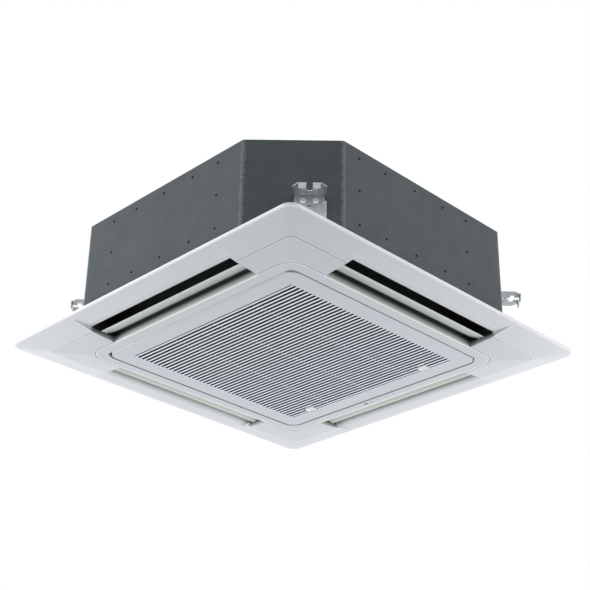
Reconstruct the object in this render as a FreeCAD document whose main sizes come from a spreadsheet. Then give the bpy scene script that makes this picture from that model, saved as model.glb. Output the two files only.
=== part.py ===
import FreeCAD, Part
import Sketcher
import functools
import math
import os
import re
from FreeCAD import Placement, Rotation, Vector

# Cassette air conditioner for a suspended ceiling, in millimetres.
# The origin is the middle of the panel in the ceiling plane, Z points up into the ceiling void,
# X runs along the slats of the intake grille and the grille is hinged on its -Y side.

SIZES = {
    # Widths from the fan outwards: each ring of the unit adds its own width
    "fan_radius": 228,
    "fan_gap": 30,
    "coil_depth": 46,
    "air_space": 116,
    "panel_overhang": 55,
    "lip_inset": 15,
    "outlet_width": 63,
    "border_width": 32,
    "ledge_width": 24,
    "field_margin": 46,
    "corner_margin": 68,
    # Decorative panel: depths down from the ceiling
    "panel_corner": 26,
    "rim_depth": 6,
    "crease_step": 1,
    "crease_corner": 16,
    "crease_depth": 20,
    "border_corner": 45,
    "panel_depth": 26,
    "panel_wall": 3,
    "seat_width": 36,
    "seal_step": 2,
    "cavity_depth": 17,
    "ledge_depth": 12,
    "lug_inside": 30,
    "lug_outside": 18,
    "lug_depth": 7,
    "lug_thickness": 5,
    "cover_gap": 0.4,
    "cover_recess": 3,
    # Air outlets
    "lip_depth": 5.5,
    "lip_radius": 28,
    "lip_roll": 19,
    "band_depth": 11.2,
    "band_margin": 13,
    "lip_channel_depth": 4.5,
    # Flaps
    "flap_inset": 6,
    "flap_width": 38,
    "flap_inner_drop": 4.4,
    "flap_outer_drop": 15,
    "flap_edge": 1.2,
    "flap_bulge": 120,
    "flap_end_gap": 6,
    "flap_corner": 22,
    "flap_pin": 2,
    "pin_clearance": 0.08,
    "bush_radius": 3.5,
    "bush_length": 5,
    # Swing motors
    "swing_radius": 9,
    "swing_offset": 1.7,
    "swing_gap": 0.4,
    "swing_length": 14,
    "swing_ear_half": 18,
    "swing_ear_height": 8,
    "swing_ear": 2,
    "swing_post": 2.5,
    "swing_post_place": 14,
    # Intake grille
    "grille_corner": 28,
    "grille_gap": 3,
    "seat_corner": 18,
    "grille_depth": 27,
    "grille_wall": 3,
    "grille_rim": 12,
    "slat_foot": 5.4,
    "slat_head": 2.6,
    "slat_height": 9,
    "slat_lean": 2.4,
    "cross_rib_place": 131,
    "cross_rib": 3,
    "cross_rib_height": 5,
    "hinge_radius": 6,
    "hinge_margin": 110,
    "hinge_notch": 7,
    "hinge_lug": 6,
    "hinge_lug_radius": 2.7,
    "hinge_pin": 1.5,
    "hinge_pin_reach": 20,
    "hinge_clearance": 0.08,
    # Grille latches
    "latch_place": 189,
    "latch_margin": 1,
    "latch_length": 18,
    "latch_half": 12,
    "latch_foot": 1.5,
    "latch_travel": 6,
    "latch_slider": 8,
    "latch_slider_height": 2,
    "latch_clearance": 0.4,
    # Air filter
    "filter_lap": 4,
    "filter_bar": 9,
    "filter_height": 6,
    "filter_gap": 0.3,
    "filter_mesh": 1.2,
    "filter_rib": 4,
    # Receiver on the panel border
    "receiver_inset": 15,
    "receiver_place": -63,
    "receiver_half": 6,
    "receiver_rise": 3,
    "button_place": -44,
    "button_radius": 3,
    "button_travel": 1.5,
    "button_proud": 0.6,
    "lamp_place": -22,
    "lamp_pitch": 26,
    "lamp_radius": 1.7,
    "lens_clearance": 0.2,
    "board_half": 9,
    "board_reach": 78,
    "board_level": 17.6,
    "board_wall": 1.6,
    "board_post": 2.5,
    # Steel casing above the ceiling
    "casing_chamfer": 152,
    "casing_bottom": 4,
    "casing_top": 262,
    "sheet_wall": 1.2,
    "fold_radius": 10,
    "flange_step": 8,
    "top_flange": 14,
    "bead_margin": 120,
    "bead_width": 24,
    "bead_height": 2.4,
    "rivet_radius": 2.6,
    "rivet_height": 1.2,
    "rivet_reach": 182,
    "rivet_low": 74,
    "rivet_margin": 23,
    "rivet_right_shift": -38,
    "rivet_front_shift": 6,
    "fit_gap": 0.3,
    # Foam inside the casing
    "liner_wall": 12,
    "bracket_gap": 7,
    "pan_top": 72,
    "pan_recess_top": 46,
    "pan_recess_corner": 20,
    "pan_seat": 18,
    "pan_hole_corner": 110,
    "trough_lap": 6,
    "trough_margin": 8,
    "trough_floor": 56,
    "trough_corner": 50,
    "window_inset": 4,
    "window_margin": 5,
    "sump_floor": 50,
    "sump_radius": 30,
    # Seals between panel and casing
    "seal_lap": 12,
    "seal_margin": 9,
    "seal_end": 4,
    "seal_width": 7,
    # Heat exchanger
    "coil_corner": 40,
    "coil_lift": 2,
    "coil_set": 68,
    "roof_gap": 3,
    "plate_wall": 2,
    "plate_margin": 2,
    "bend_radius": 10.5,
    "bend_tube": 4,
    "bend_pitch": 38,
    "bend_start": 76,
    "bend_inset": 12,
    "header_radius": 11,
    "header_step": 30,
    "header_inset": 18,
    "header_bottom": 66,
    "header_margin": 13,
    # Refrigerant pipes
    "gas_pipe": 7.94,
    "gas_level": 150,
    "liquid_pipe": 4.76,
    "liquid_step": 54,
    "liquid_inset": 10,
    "liquid_level": 104,
    "distributor_radius": 8,
    "distributor_height": 40,
    "pipe_reach": 48,
    "pipe_proud": 1,
    "nut_length": 20,
    "gas_nut": 15,
    "liquid_nut": 11,
    "pipe_hole_gap": 0.3,
    # Drain pump, float switch and drain outlet
    "pump_step": 36,
    "pump_inset": 32,
    "pump_radius": 22,
    "pump_bottom": 92,
    "pump_top": 190,
    "suction_radius": 10,
    "drain_level": 172,
    "hose_radius": 7,
    "hose_wall": 2,
    "spigot_radius": 16,
    "spigot_bore": 12.5,
    "spigot_length": 44,
    "spigot_flange": 20,
    "spigot_flange_wall": 4,
    "float_step": 76,
    "float_inset": 48,
    "float_radius": 9,
    "float_height": 14,
    "float_travel": 12,
    "stem_radius": 3,
    "stem_head": 7,
    "stem_head_height": 6,
    "stem_clearance": 0.4,
    # Fan, motor and bell mouth
    "mouth_wall": 2,
    "mouth_gap": 2,
    "mouth_round": 34,
    "mouth_top": 92,
    "throat_gap": 8,
    "fan_drop": 40,
    "hub_wall": 3,
    "dome_radius": 116,
    "dome_foot": 46,
    "dome_height": 66,
    "dome_round": 75,
    "boss_radius": 20,
    "boss_height": 20,
    "shroud_span": 60,
    "shroud_bottom": 80,
    "shroud_neck": 84,
    "shroud_level": 106,
    "shroud_round": 50,
    "shroud_wall": 2.5,
    "blade_span": 78,
    "blade_inset": 2,
    "blade_thickness": 6,
    "blade_tail": 2.5,
    "blade_round": 130,
    "blade_rise": 98,
    "shaft_radius": 6,
    "shaft_proud": 14,
    "shaft_cover": 6,
    "shaft_clearance": 0.05,
    "fan_nut": 11,
    "fan_nut_height": 9,
    "motor_radius": 66,
    "motor_drop": 24,
    "motor_height": 56,
    "motor_round": 8,
    "motor_collar": 22,
    "motor_collar_height": 6,
    "grommet_radius": 9,
    "grommet_place": 46,
    "grommet_height": 6,
    "bracket_plate": 66,
    "bracket_rim": 118,
    "bracket_foot": 96,
    "bracket_wall": 2,
    # Control box under the bell mouth
    "box_reach": 150,
    "box_gap": 3,
    "box_margin": 4,
    "box_bottom": 10,
    "box_wall": 1.2,
    # Hanger brackets and fasteners
    "hanger_stand": 42,
    "rod_skew": 50,
    "hanger_level": 120,
    "hanger_wall": 2,
    "hanger_slot": 6.5,
    "hanger_throat": 10,
    "hanger_hole_half": 17,
    "hanger_arm": 24,
    "hanger_half": 36,
    "hanger_nose": 25,
    "hanger_taper": 14,
    "hanger_lip": 12,
    "hanger_lip_outer": 23,
    "hanger_lip_inner": 7,
    "hanger_plate_half": 32,
    "hanger_plate_bottom": 44,
    "hanger_strip": 4,
    "hanger_eye_half": 4,
    "hanger_eye_width": 3,
    "hanger_eye_back": 15,
    "hanger_eye_drop": 23,
    "hanger_screw": 5,
    "hanger_screw_height": 3,
    "hanger_screw_place": 13.5,
    "hanger_screw_drop": 10,
    "washer_radius": 7,
    "washer_height": 0.8,
    "bolt_inset": 10,
    "bolt_head": 8,
    "bolt_head_height": 4.6,
    "bolt_shank": 4,
    "bolt_gap": 0.3,
    "gland_place": 171,
    "gland_level": 40,
    "gland_nut": 13,
    "gland_nut_height": 6,
    "gland_neck": 9,
    "gland_length": 14,
    "gland_bore": 5,
    # One overrun for every cut
    "overrun": 10,
}

SLAT_COUNT = 44
BLADE_COUNT = 7
BEND_COUNT = 5
LAMP_COUNT = 3
RIVET_SHARES = (-1, -0.54, 0, 0.54, 1)
LEAN_SHARE = 0.01
BLADE_SWEEP_ANGLE = 26
CORNER_ANGLE = 45
SIDES = {"right": 0, "back": 90, "left": 180, "front": 270}
CORNERS = {"back_right": 0, "back_left": 90, "front_left": 180, "front_right": 270}

# Sizes that follow from others: half widths from the middle, then levels above the ceiling
FOLLOWS = {
    "coil_inner": "fan_radius + fan_gap",
    "coil_outer": "coil_inner + coil_depth",
    "casing_half": "coil_outer + air_space",
    "panel_half": "casing_half + panel_overhang",
    "lip_half": "casing_half - lip_inset",
    "flange_half": "lip_half",
    "crease_half": "lip_half - crease_step",
    "border_half": "lip_half - outlet_width",
    "grille_half": "border_half - border_width",
    "intake_half": "grille_half - ledge_width",
    "field_half": "grille_half - field_margin",
    "filter_half": "field_half + filter_lap",
    "slat_pitch": f"2 * field_half / {SLAT_COUNT}",
    "outlet_reach": "grille_half - corner_margin",
    "channel_reach": "outlet_reach - flap_end_gap",
    "flap_reach": "outlet_reach - flap_end_gap",
    "flap_inner": "border_half + flap_inset",
    "flap_outer": "flap_inner + flap_width",
    "bush_end": "outlet_reach + bush_length",
    "swing_start": "bush_end + swing_gap",
    "band_turn": "lip_half + lip_roll",
    "band_start": "panel_half - band_margin",
    "flange_corner": "casing_chamfer + flange_step",
    "bolt_place": "casing_half - casing_chamfer / 2 - bolt_inset",
    "lug_inner": "bolt_place - lug_inside",
    "lug_outer": "bolt_place + lug_outside",
    "seal_inner": "border_half - seal_lap",
    "seal_outer": "lip_half + seal_margin",
    "seal_reach": "outlet_reach + seal_end",
    "window_inner": "border_half + window_inset",
    "window_outer": "lip_half - window_margin",
    "window_reach": "outlet_reach - window_inset",
    "trough_inner": "coil_inner - trough_lap",
    "trough_outer": "coil_outer + trough_margin",
    "pan_recess_half": "coil_inner + trough_lap",
    "pan_hole_half": "coil_inner - pan_seat",
    "mouth_half": "pan_recess_half - mouth_gap",
    "coil_end": "casing_half - casing_chamfer - coil_set",
    "header_place": "coil_end + header_step",
    "header_row": "coil_outer - header_inset",
    "liquid_place": "coil_end + liquid_step",
    "liquid_row": "coil_inner + liquid_inset",
    "pump_place": "coil_end + pump_step",
    "pump_row": "coil_end + pump_inset",
    "float_place": "coil_end + float_step",
    "float_row": "coil_end + float_inset",
    "pipe_end": "casing_half + pipe_reach",
    "shroud_inlet": "fan_radius - shroud_span",
    "mouth_throat": "shroud_inlet - throat_gap",
    "blade_inner": "fan_radius - blade_span",
    "blade_outer": "fan_radius - blade_inset",
    "box_front": "mouth_throat + mouth_round + box_gap",
    "box_back": "mouth_half - box_margin",
    "latch_end": "field_half - latch_margin",
    "latch_start": "latch_end - latch_length",
    "hinge_place": "grille_half - hinge_margin",
    "receiver_row": "border_half - receiver_inset",
    "bead_radius": "casing_half - bead_margin",
    "liner_hole": "bracket_rim + bracket_gap",
    "hanger_sum": "2 * casing_half - casing_chamfer + hanger_stand",
    "hanger_back": "hanger_stand / sqrt(2)",
    "rod_x": "(hanger_sum + rod_skew) / 2",
    "rod_y": "(hanger_sum - rod_skew) / 2",
    "rivet_high": "casing_top - rivet_margin",
    "mouth_bottom": "pan_recess_top - mouth_wall",
    "coil_bottom": "trough_floor + coil_lift",
    "float_start": "trough_floor + coil_lift",
    "coil_top": "casing_top - liner_wall - roof_gap",
    "header_top": "coil_top - header_margin",
    "motor_top": "casing_top - motor_drop",
    "motor_bottom": "motor_top - motor_height",
    "shaft_top": "motor_top - shaft_cover",
    "hub_level": "casing_top - fan_drop",
    "dome_level": "hub_level - dome_height",
    "boss_bottom": "dome_level - boss_height",
    "shaft_bottom": "boss_bottom - shaft_proud",
}

doc = FreeCAD.newDocument("cassette_air_conditioner")
sheet = doc.addObject("Spreadsheet::Sheet", "Sizes")
for row, (alias, size) in enumerate(SIZES.items(), 1):
    sheet.set(f"A{row}", alias)
    sheet.set(f"B{row}", str(size))
    sheet.setAlias(f"B{row}", alias)
trial = doc.addObject("Spreadsheet::Sheet", "Trial")
doc.recompute()
nodes = []


def bound(words):
    """A sum of named sizes as an expression on the sheet."""

    def written(found):
        name = found.group(0)
        return f"({bound(FOLLOWS[name])})" if name in FOLLOWS else "Sizes." + name

    return re.sub(r"[a-z][a-z_]+\b(?!\()", written, words)


@functools.cache
def number(words):
    """The value of a sum of named sizes."""
    trial.set("A1", "=" + bound(words))
    trial.recompute()
    return float(trial.get("A1"))


def bind(thing, name, words):
    thing.setExpression(name, bound(words))


def keep(thing, label, angle=0):
    """Mark a finished sub-part, turned about the upright axis of the unit."""
    thing.Label = label
    if angle:
        thing.Placement = Placement(Vector(), Rotation(Vector(0, 0, 1), angle))
    nodes.append(thing)
    return thing


def new_body(name):
    return doc.addObject("PartDesign::Body", name)


def sketch(body, name, role, level="0"):
    """A sketch on one of the body's own origin planes, moved along its normal."""
    drawn = body.newObject("Sketcher::SketchObject", name)
    plane = next(item for item in body.Origin.OriginFeatures if item.Role == role)
    drawn.AttachmentSupport = [(plane, "")]
    drawn.MapMode = "FlatFace"
    bind(drawn, "AttachmentOffset.Base.z", level)
    return drawn


def arc_between(start, end, radius, turn):
    """The shorter arc between two points, turning left for 1 and right for -1."""
    half = (end - start).Length / 2
    side = (end - start).normalize().cross(Vector(0, 0, -turn))
    centre = (start + end) / 2 + side * math.sqrt(max(radius**2 - half**2, 0))
    first, last = (start, end) if turn > 0 else (end, start)
    angles = [math.atan2(p.y - centre.y, p.x - centre.x) for p in (first, last)]
    return Part.ArcOfCircle(Part.Circle(centre, Vector(0, 0, 1), radius), *angles)


def outline(drawn, corners):
    """A closed outline. A corner is x, y and, where an arc leaves it, its radius and turn."""
    places = [Vector(number(c[0]), number(c[1]), 0) for c in corners]
    first = drawn.GeometryCount
    count = len(corners)
    ends = []
    for index, corner in enumerate(corners):
        start, end = places[index], places[(index + 1) % count]
        if len(corner) == 2:
            drawn.addGeometry(Part.LineSegment(start, end), False)
            ends.append((1, 2))
        else:
            drawn.addGeometry(arc_between(start, end, number(corner[2]), corner[3]), False)
            ends.append((1, 2) if corner[3] > 0 else (2, 1))
    rules = []
    sizes = []
    for index, corner in enumerate(corners):
        after = (index + 1) % count
        joint = (first + index, ends[index][1], first + after, ends[after][0])
        rules.append(Sketcher.Constraint("Coincident", *joint))
        sizes.append(None)
        at = (-1, 1, first + index, ends[index][0])
        rules.append(Sketcher.Constraint("DistanceX", *at, places[index].x))
        rules.append(Sketcher.Constraint("DistanceY", *at, places[index].y))
        sizes += corner[:2]
        if len(corner) == 4:
            rules.append(Sketcher.Constraint("Radius", first + index, number(corner[2])))
            sizes.append(corner[2])
    return constrain(drawn, rules, sizes)


def constrain(drawn, rules, sizes):
    """Add constraints together and bind those that have a size."""
    for at, words in zip(drawn.addConstraint(rules), sizes):
        if words:
            bind(drawn, f"Constraints[{at}]", words)
    return drawn


def circle(drawn, x, y, radius):
    centre = Vector(number(x), number(y), 0)
    at = drawn.addGeometry(Part.Circle(centre, Vector(0, 0, 1), number(radius)), False)
    rules = [
        Sketcher.Constraint("DistanceX", -1, 1, at, 3, centre.x),
        Sketcher.Constraint("DistanceY", -1, 1, at, 3, centre.y),
        Sketcher.Constraint("Radius", at, number(radius)),
    ]
    return constrain(drawn, rules, (x, y, radius))


def rectangle(left, right, low, high):
    return [(left, low), (right, low), (right, high), (left, high)]


def rounded_square(half, corner, front_corner=None):
    """A square with rounded corners, whose two front corners may have a radius of their own."""
    front = front_corner or corner
    near = f"(({half}) - ({corner}))"
    ahead = f"(({half}) - ({front}))"
    half = f"({half})"
    return [
        (f"-{ahead}", f"-{half}"), (ahead, f"-{half}", front, 1),
        (half, f"-{ahead}"), (half, near, corner, 1),
        (near, half), (f"-{near}", half, corner, 1),
        (f"-{half}", near), (f"-{half}", f"-{ahead}", front, 1),
    ]


def octagon(half, chamfer):
    near = f"(({half}) - ({chamfer}))"
    half = f"({half})"
    return [
        (half, f"-{near}"), (half, near), (near, half), (f"-{near}", half),
        (f"-{half}", near), (f"-{half}", f"-{near}"), (f"-{near}", f"-{half}"), (near, f"-{half}"),
    ]


def casing_octagon(inset):
    """The casing outline moved inwards by the same amount on all eight sides."""
    return octagon(f"casing_half - ({inset})", f"casing_chamfer - (2 - sqrt(2)) * ({inset})")


def feature(body, kind, profile, length=None, down=False, both=False):
    """A Pad or Pocket of a sketch; without a length it cuts through all."""
    made = body.newObject("PartDesign::" + kind, profile.Name + "_" + kind.lower())
    made.Profile = profile
    made.SideType = "Symmetric" if both else "One side"
    if length is None:
        made.Type = "ThroughAll"
    else:
        bind(made, "Length", length)
    made.Reversed = down if kind == "Pad" else not down
    return made


def pad(body, profile, length, down=False, both=False):
    return feature(body, "Pad", profile, length, down, both)


def pocket(body, profile, length=None, down=False, both=False):
    return feature(body, "Pocket", profile, length, down, both or length is None)


def turned(body, kind, profile):
    """A Revolution or Groove of a profile about the upright axis."""
    made = body.newObject("PartDesign::" + kind, profile.Name + "_" + kind.lower())
    made.Profile = profile
    made.ReferenceAxis = (profile, ["V_Axis"])
    made.Angle = 360
    return made


def lofted(body, kind, sections):
    made = body.newObject("PartDesign::" + kind, sections[0].Name + "_loft")
    made.Profile = sections[0]
    made.Sections = sections[1:]
    made.Ruled = True
    return made


def around(body, name, originals, count):
    """The same features repeated round the upright axis."""
    made = body.newObject("PartDesign::PolarPattern", name)
    made.Originals = originals
    axis = next(item for item in body.Origin.OriginFeatures if item.Role == "Z_Axis")
    made.Axis = (axis, [""])
    made.Angle = 360
    made.Occurrences = count
    body.Tip = made
    return made


def upright_edges(solid):
    names = []
    for index, edge in enumerate(solid.Shape.Edges, 1):
        step = edge.Vertexes[-1].Point - edge.Vertexes[0].Point
        if edge.Curve.TypeId == "Part::GeomLine" and abs(step.x) + abs(step.y) < abs(step.z) * LEAN_SHARE:
            names.append(f"Edge{index}")
    return names


def fold_edges(body, base, radius):
    """Round every upright edge of the body so far."""
    doc.recompute()
    made = body.newObject("PartDesign::Fillet", base.Name + "_folds")
    made.Base = (base, upright_edges(base))
    bind(made, "Radius", radius)
    return made


def block(name, low, high):
    """A box between two corners, each written in named sizes."""
    made = doc.addObject("Part::Box", name)
    for side, axis, start, end in zip(("Length", "Width", "Height"), "xyz", low, high):
        bind(made, side, f"({end}) - ({start})")
        bind(made, f"Placement.Base.{axis}", start)
    return made


def round_bar(name, radius, length, start, axis=Vector(0, 0, 1)):
    """A cylinder that starts at a place written in named sizes and runs along an axis."""
    made = doc.addObject("Part::Cylinder", name)
    bind(made, "Radius", radius)
    bind(made, "Height", length)
    made.Placement.Rotation = Rotation(Vector(0, 0, 1), axis)
    for letter, words in zip("xyz", start):
        bind(made, f"Placement.Base.{letter}", words)
    return made


def hex_bar(name, radius, length, start, axis=Vector(0, 0, 1)):
    made = doc.addObject("Part::Prism", name)
    made.Polygon = 6
    bind(made, "Circumradius", radius)
    bind(made, "Height", length)
    made.Placement.Rotation = Rotation(Vector(0, 0, 1), axis)
    for letter, words in zip("xyz", start):
        bind(made, f"Placement.Base.{letter}", words)
    return made


def cut(name, base, tool):
    made = doc.addObject("Part::Cut", name)
    made.Base = base
    made.Tool = tool
    return made


def fuse(name, *shapes):
    made = doc.addObject("Part::MultiFuse", name)
    made.Shapes = list(shapes)
    made.Refine = True
    return made


def group(name, shapes):
    made = doc.addObject("Part::Compound", name)
    made.Links = shapes
    return made


def panel_frame():
    """The white moulded frame: sloping skin, four outlets with rolled lips, and the grille's seat."""
    body = new_body("panel_frame")
    rim = outline(sketch(body, "rim", "XY_Plane", "-rim_depth"), rounded_square("panel_half", "panel_corner"))
    pad(body, rim, "rim_depth")
    crease = sketch(body, "crease", "XY_Plane", "-crease_depth")
    outline(crease, rounded_square("crease_half", "crease_corner"))
    border = sketch(body, "border", "XY_Plane", "-panel_depth")
    outline(border, rounded_square("border_half", "border_corner"))
    lofted(body, "AdditiveLoft", [rim, crease, border])
    step = sketch(body, "seal_land", "XY_Plane")
    outline(step, rounded_square("panel_half - seat_width", "panel_corner"))
    pocket(body, step, "seal_step", down=True)

    slot = sketch(body, "outlet", "XY_Plane")
    outline(slot, rectangle("border_half", "lip_half", "-outlet_reach", "outlet_reach"))
    skin_slope = "(crease_depth - rim_depth) / (panel_half - crease_half)"
    band = sketch(body, "band", "XZ_Plane")
    outline(band, [
        ("band_start", f"-rim_depth - (panel_half - band_start) * {skin_slope}"),
        ("band_turn", "-band_depth", "lip_radius", -1),
        ("lip_half", "-lip_depth"),
        ("lip_half", "-panel_depth - overrun"),
        ("band_start", "-panel_depth - overrun"),
    ])
    channel = sketch(body, "border_channel", "XY_Plane")
    channel_inner = "grille_half + grille_gap + panel_wall"
    outline(channel, rectangle(channel_inner, "border_half - panel_wall", "-channel_reach", "channel_reach"))
    hollow = sketch(body, "lip_channel", "XY_Plane")
    hollow_outer = "panel_half - seat_width"
    outline(hollow, rectangle("lip_half + panel_wall", hollow_outer, "-channel_reach", "channel_reach"))
    end = "outlet_reach + panel_wall"
    mouth = sketch(body, "corner_mouth", "XY_Plane", "overrun")
    floor = sketch(body, "corner_floor", "XY_Plane", "-cavity_depth")
    rise = "(overrun + cavity_depth) / cavity_depth"
    floor_half = "crease_half - panel_wall"
    mouth_half = f"{floor_half} + (panel_half - seat_width - crease_half + panel_wall) * {rise}"
    for drawn, far in ((mouth, mouth_half), (floor, floor_half)):
        outline(drawn, [
            (channel_inner, end), (far, end), (far, far), (end, far), (end, channel_inner),
            (channel_inner, channel_inner),
        ])
    hole = outline(sketch(body, "cover_hole", "XY_Plane"), cover_outline("0"))
    bore = sketch(body, "bush_bore", "XZ_Plane")
    circle(bore, FLAP_AXIS, FLAP_LEVEL, "bush_radius")
    cuts = [
        pocket(body, slot),
        pocket(body, band, "2 * outlet_reach", both=True),
        pocket(body, channel, "panel_depth - panel_wall", down=True),
        pocket(body, hollow, "lip_channel_depth", down=True),
        lofted(body, "SubtractiveLoft", [mouth, floor]),
        pocket(body, hole),
        pocket(body, bore, "2 * outlet_reach + 2 * panel_wall + 2 * panel_wall", both=True),
    ]
    around(body, "four_sides", cuts, len(SIDES))

    seat = sketch(body, "grille_seat", "XY_Plane", "-panel_depth - overrun")
    outline(seat, rounded_square("grille_half + grille_gap", "grille_corner + grille_gap", "seat_corner"))
    pocket(body, seat, "panel_depth + overrun - ledge_depth")
    intake = sketch(body, "intake", "XY_Plane")
    outline(intake, rounded_square("intake_half", "grille_corner"))
    pocket(body, intake)
    lug = sketch(body, "bolt_lug", "XY_Plane", "-lug_depth")
    outline(lug, rectangle("lug_inner", "lug_outer", "lug_inner", "lug_outer"))
    lug_pad = pad(body, lug, "lug_thickness", down=True)
    around(body, "bolt_lugs", [lug_pad], len(CORNERS))
    bolt = circle(sketch(body, "bolt_bore", "XY_Plane"), "bolt_place", "bolt_place", "bolt_shank + bolt_gap")
    bolt_cut = pocket(body, bolt, "lug_depth + lug_thickness", down=True)
    around(body, "bolt_bores", [bolt_cut], len(CORNERS))
    eyes = sketch(body, "receiver_holes", "XY_Plane", "-panel_depth - overrun")
    outline(eyes, rectangle(
        "receiver_place - receiver_half - lens_clearance", "receiver_place + receiver_half + lens_clearance",
        "receiver_row - receiver_rise - lens_clearance", "receiver_row + receiver_rise + lens_clearance",
    ))
    circle(eyes, "button_place", "receiver_row", "button_radius + lens_clearance")
    for lamp in range(LAMP_COUNT):
        circle(eyes, f"lamp_place + {lamp} * lamp_pitch", "receiver_row", "lamp_radius + lens_clearance")
    body.Tip = pocket(body, eyes, "panel_wall + 2 * overrun")
    return keep(body, "panel_frame")


def cover_outline(inset):
    """The corner cover between two outlets, seen from below, drawn in by the same amount all round."""
    end = f"(outlet_reach + panel_wall + {inset})"
    far = f"(crease_half - {inset})"
    near = f"(border_half + {inset})"
    turn = f"(crease_corner - {inset})"
    bend = f"(border_corner + {inset})"
    return [
        (near, end), (far, end), (far, f"{far} - {turn}", turn, 1), (f"{far} - {turn}", far),
        (end, far), (end, near), (f"{near} - {bend}", near, bend, -1), (near, f"{near} - {bend}"),
    ]


def corner_cover(name, angle):
    """A clip-on corner cover that follows the panel's slope on both sides of the corner."""
    body = new_body("corner_cover_" + name)
    plate = sketch(body, "cover_plate", "XY_Plane", "-panel_depth")
    outline(plate, cover_outline("cover_gap"))
    pad(body, plate, "panel_depth - cavity_depth")
    slope = [
        ("border_half", "-panel_depth"), ("crease_half", "-crease_depth"),
        ("crease_half", "-panel_depth - overrun"), ("border_half", "-panel_depth - overrun"),
    ]
    for role in ("XZ_Plane", "YZ_Plane"):
        wedge = outline(sketch(body, "slope_" + role[:2].lower(), role), slope)
        pocket(body, wedge)
    recess = sketch(body, "cover_recess", "XY_Plane", "-cavity_depth")
    outline(recess, cover_outline("cover_gap + panel_wall"))
    body.Tip = pocket(body, recess, "cover_recess", down=True)
    return keep(body, "corner_cover_" + name, angle)


FLAP_AXIS = "(flap_inner + flap_outer) / 2"
FLAP_LEVEL = "-(flap_inner_drop + flap_outer_drop - flap_edge) / 2"


def flap(name, angle):
    """A lens-shaped air flap on two moulded pins, its inner corners rounded."""
    body = new_body("flap_" + name)
    section = sketch(body, "flap_section", "XZ_Plane")
    outline(section, [
        ("flap_inner", "-flap_inner_drop", "flap_bulge", 1),
        ("flap_outer", "-flap_outer_drop"),
        ("flap_outer", "flap_edge - flap_outer_drop", "flap_bulge", 1),
        ("flap_inner", "flap_edge - flap_inner_drop"),
    ])
    pad(body, section, "2 * flap_reach", both=True)
    ends = sketch(body, "flap_corners", "XY_Plane")
    for sign in ("", "-"):
        reach = f"{sign}(flap_reach + overrun)"
        turn = -1 if sign else 1
        outline(ends, [
            ("flap_inner - overrun", f"{sign}(flap_reach - flap_corner)"),
            ("flap_inner", f"{sign}(flap_reach - flap_corner)", "flap_corner", -turn),
            ("flap_inner + flap_corner", f"{sign}flap_reach"),
            ("flap_inner + flap_corner", reach),
            ("flap_inner - overrun", reach),
        ])
    pocket(body, ends)
    pin = circle(sketch(body, "flap_pins", "XZ_Plane"), FLAP_AXIS, FLAP_LEVEL, "flap_pin")
    body.Tip = pad(body, pin, "2 * bush_end", both=True)
    return keep(body, "flap_" + name, angle)


def flap_bushes():
    """Eight plain bushes pressed into the end walls of the outlets."""
    shapes = []
    for name, angle in SIDES.items():
        for end, sign in (("far", ""), ("near", "-")):
            label = f"bush_{name}_{end}"
            along = Vector(0, -1 if sign else 1, 0)
            start = (FLAP_AXIS, f"{sign}outlet_reach", FLAP_LEVEL)
            length = "bush_end - outlet_reach"
            ring = round_bar(label + "_ring", "bush_radius", length, start, along)
            bore = round_bar(label + "_bore", "flap_pin + pin_clearance", length, start, along)
            bush = cut(label, ring, bore)
            bush.Placement = Placement(Vector(), Rotation(Vector(0, 0, 1), angle))
            shapes.append(bush)
    return keep(group("flap_bushes", shapes), "flap_bushes")


def swing_motor(name, angle):
    """A small stepper with two ears, screwed to the outlet's end wall in line with the flap pin."""
    label = "swing_motor_" + name
    along = Vector(0, 1, 0)
    level = f"{FLAP_LEVEL} + swing_offset"
    can = round_bar(label + "_can", "swing_radius", "swing_length", (FLAP_AXIS, "swing_start", level), along)
    ears = block(
        label + "_ears",
        (f"{FLAP_AXIS} - swing_ear_half", "swing_start", f"{level} - swing_ear_height / 2"),
        (f"{FLAP_AXIS} + swing_ear_half", "swing_start + swing_ear", f"{level} + swing_ear_height / 2"),
    )
    post_length = "swing_start + swing_ear - outlet_reach - panel_wall"
    posts = []
    for side, sign in (("outer", ""), ("inner", "-")):
        start = (f"{FLAP_AXIS} + {sign}swing_post_place", "outlet_reach + panel_wall", level)
        posts.append(round_bar(f"{label}_{side}_post", "swing_post", post_length, start, along))
    return keep(fuse(label, can, ears, *posts), label, angle)


HINGE_ROW = "-(grille_half - hinge_radius)"
HINGE_LEVEL = "hinge_radius - grille_depth"
LATCH_LEVEL = "grille_wall - grille_depth + latch_clearance"


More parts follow.
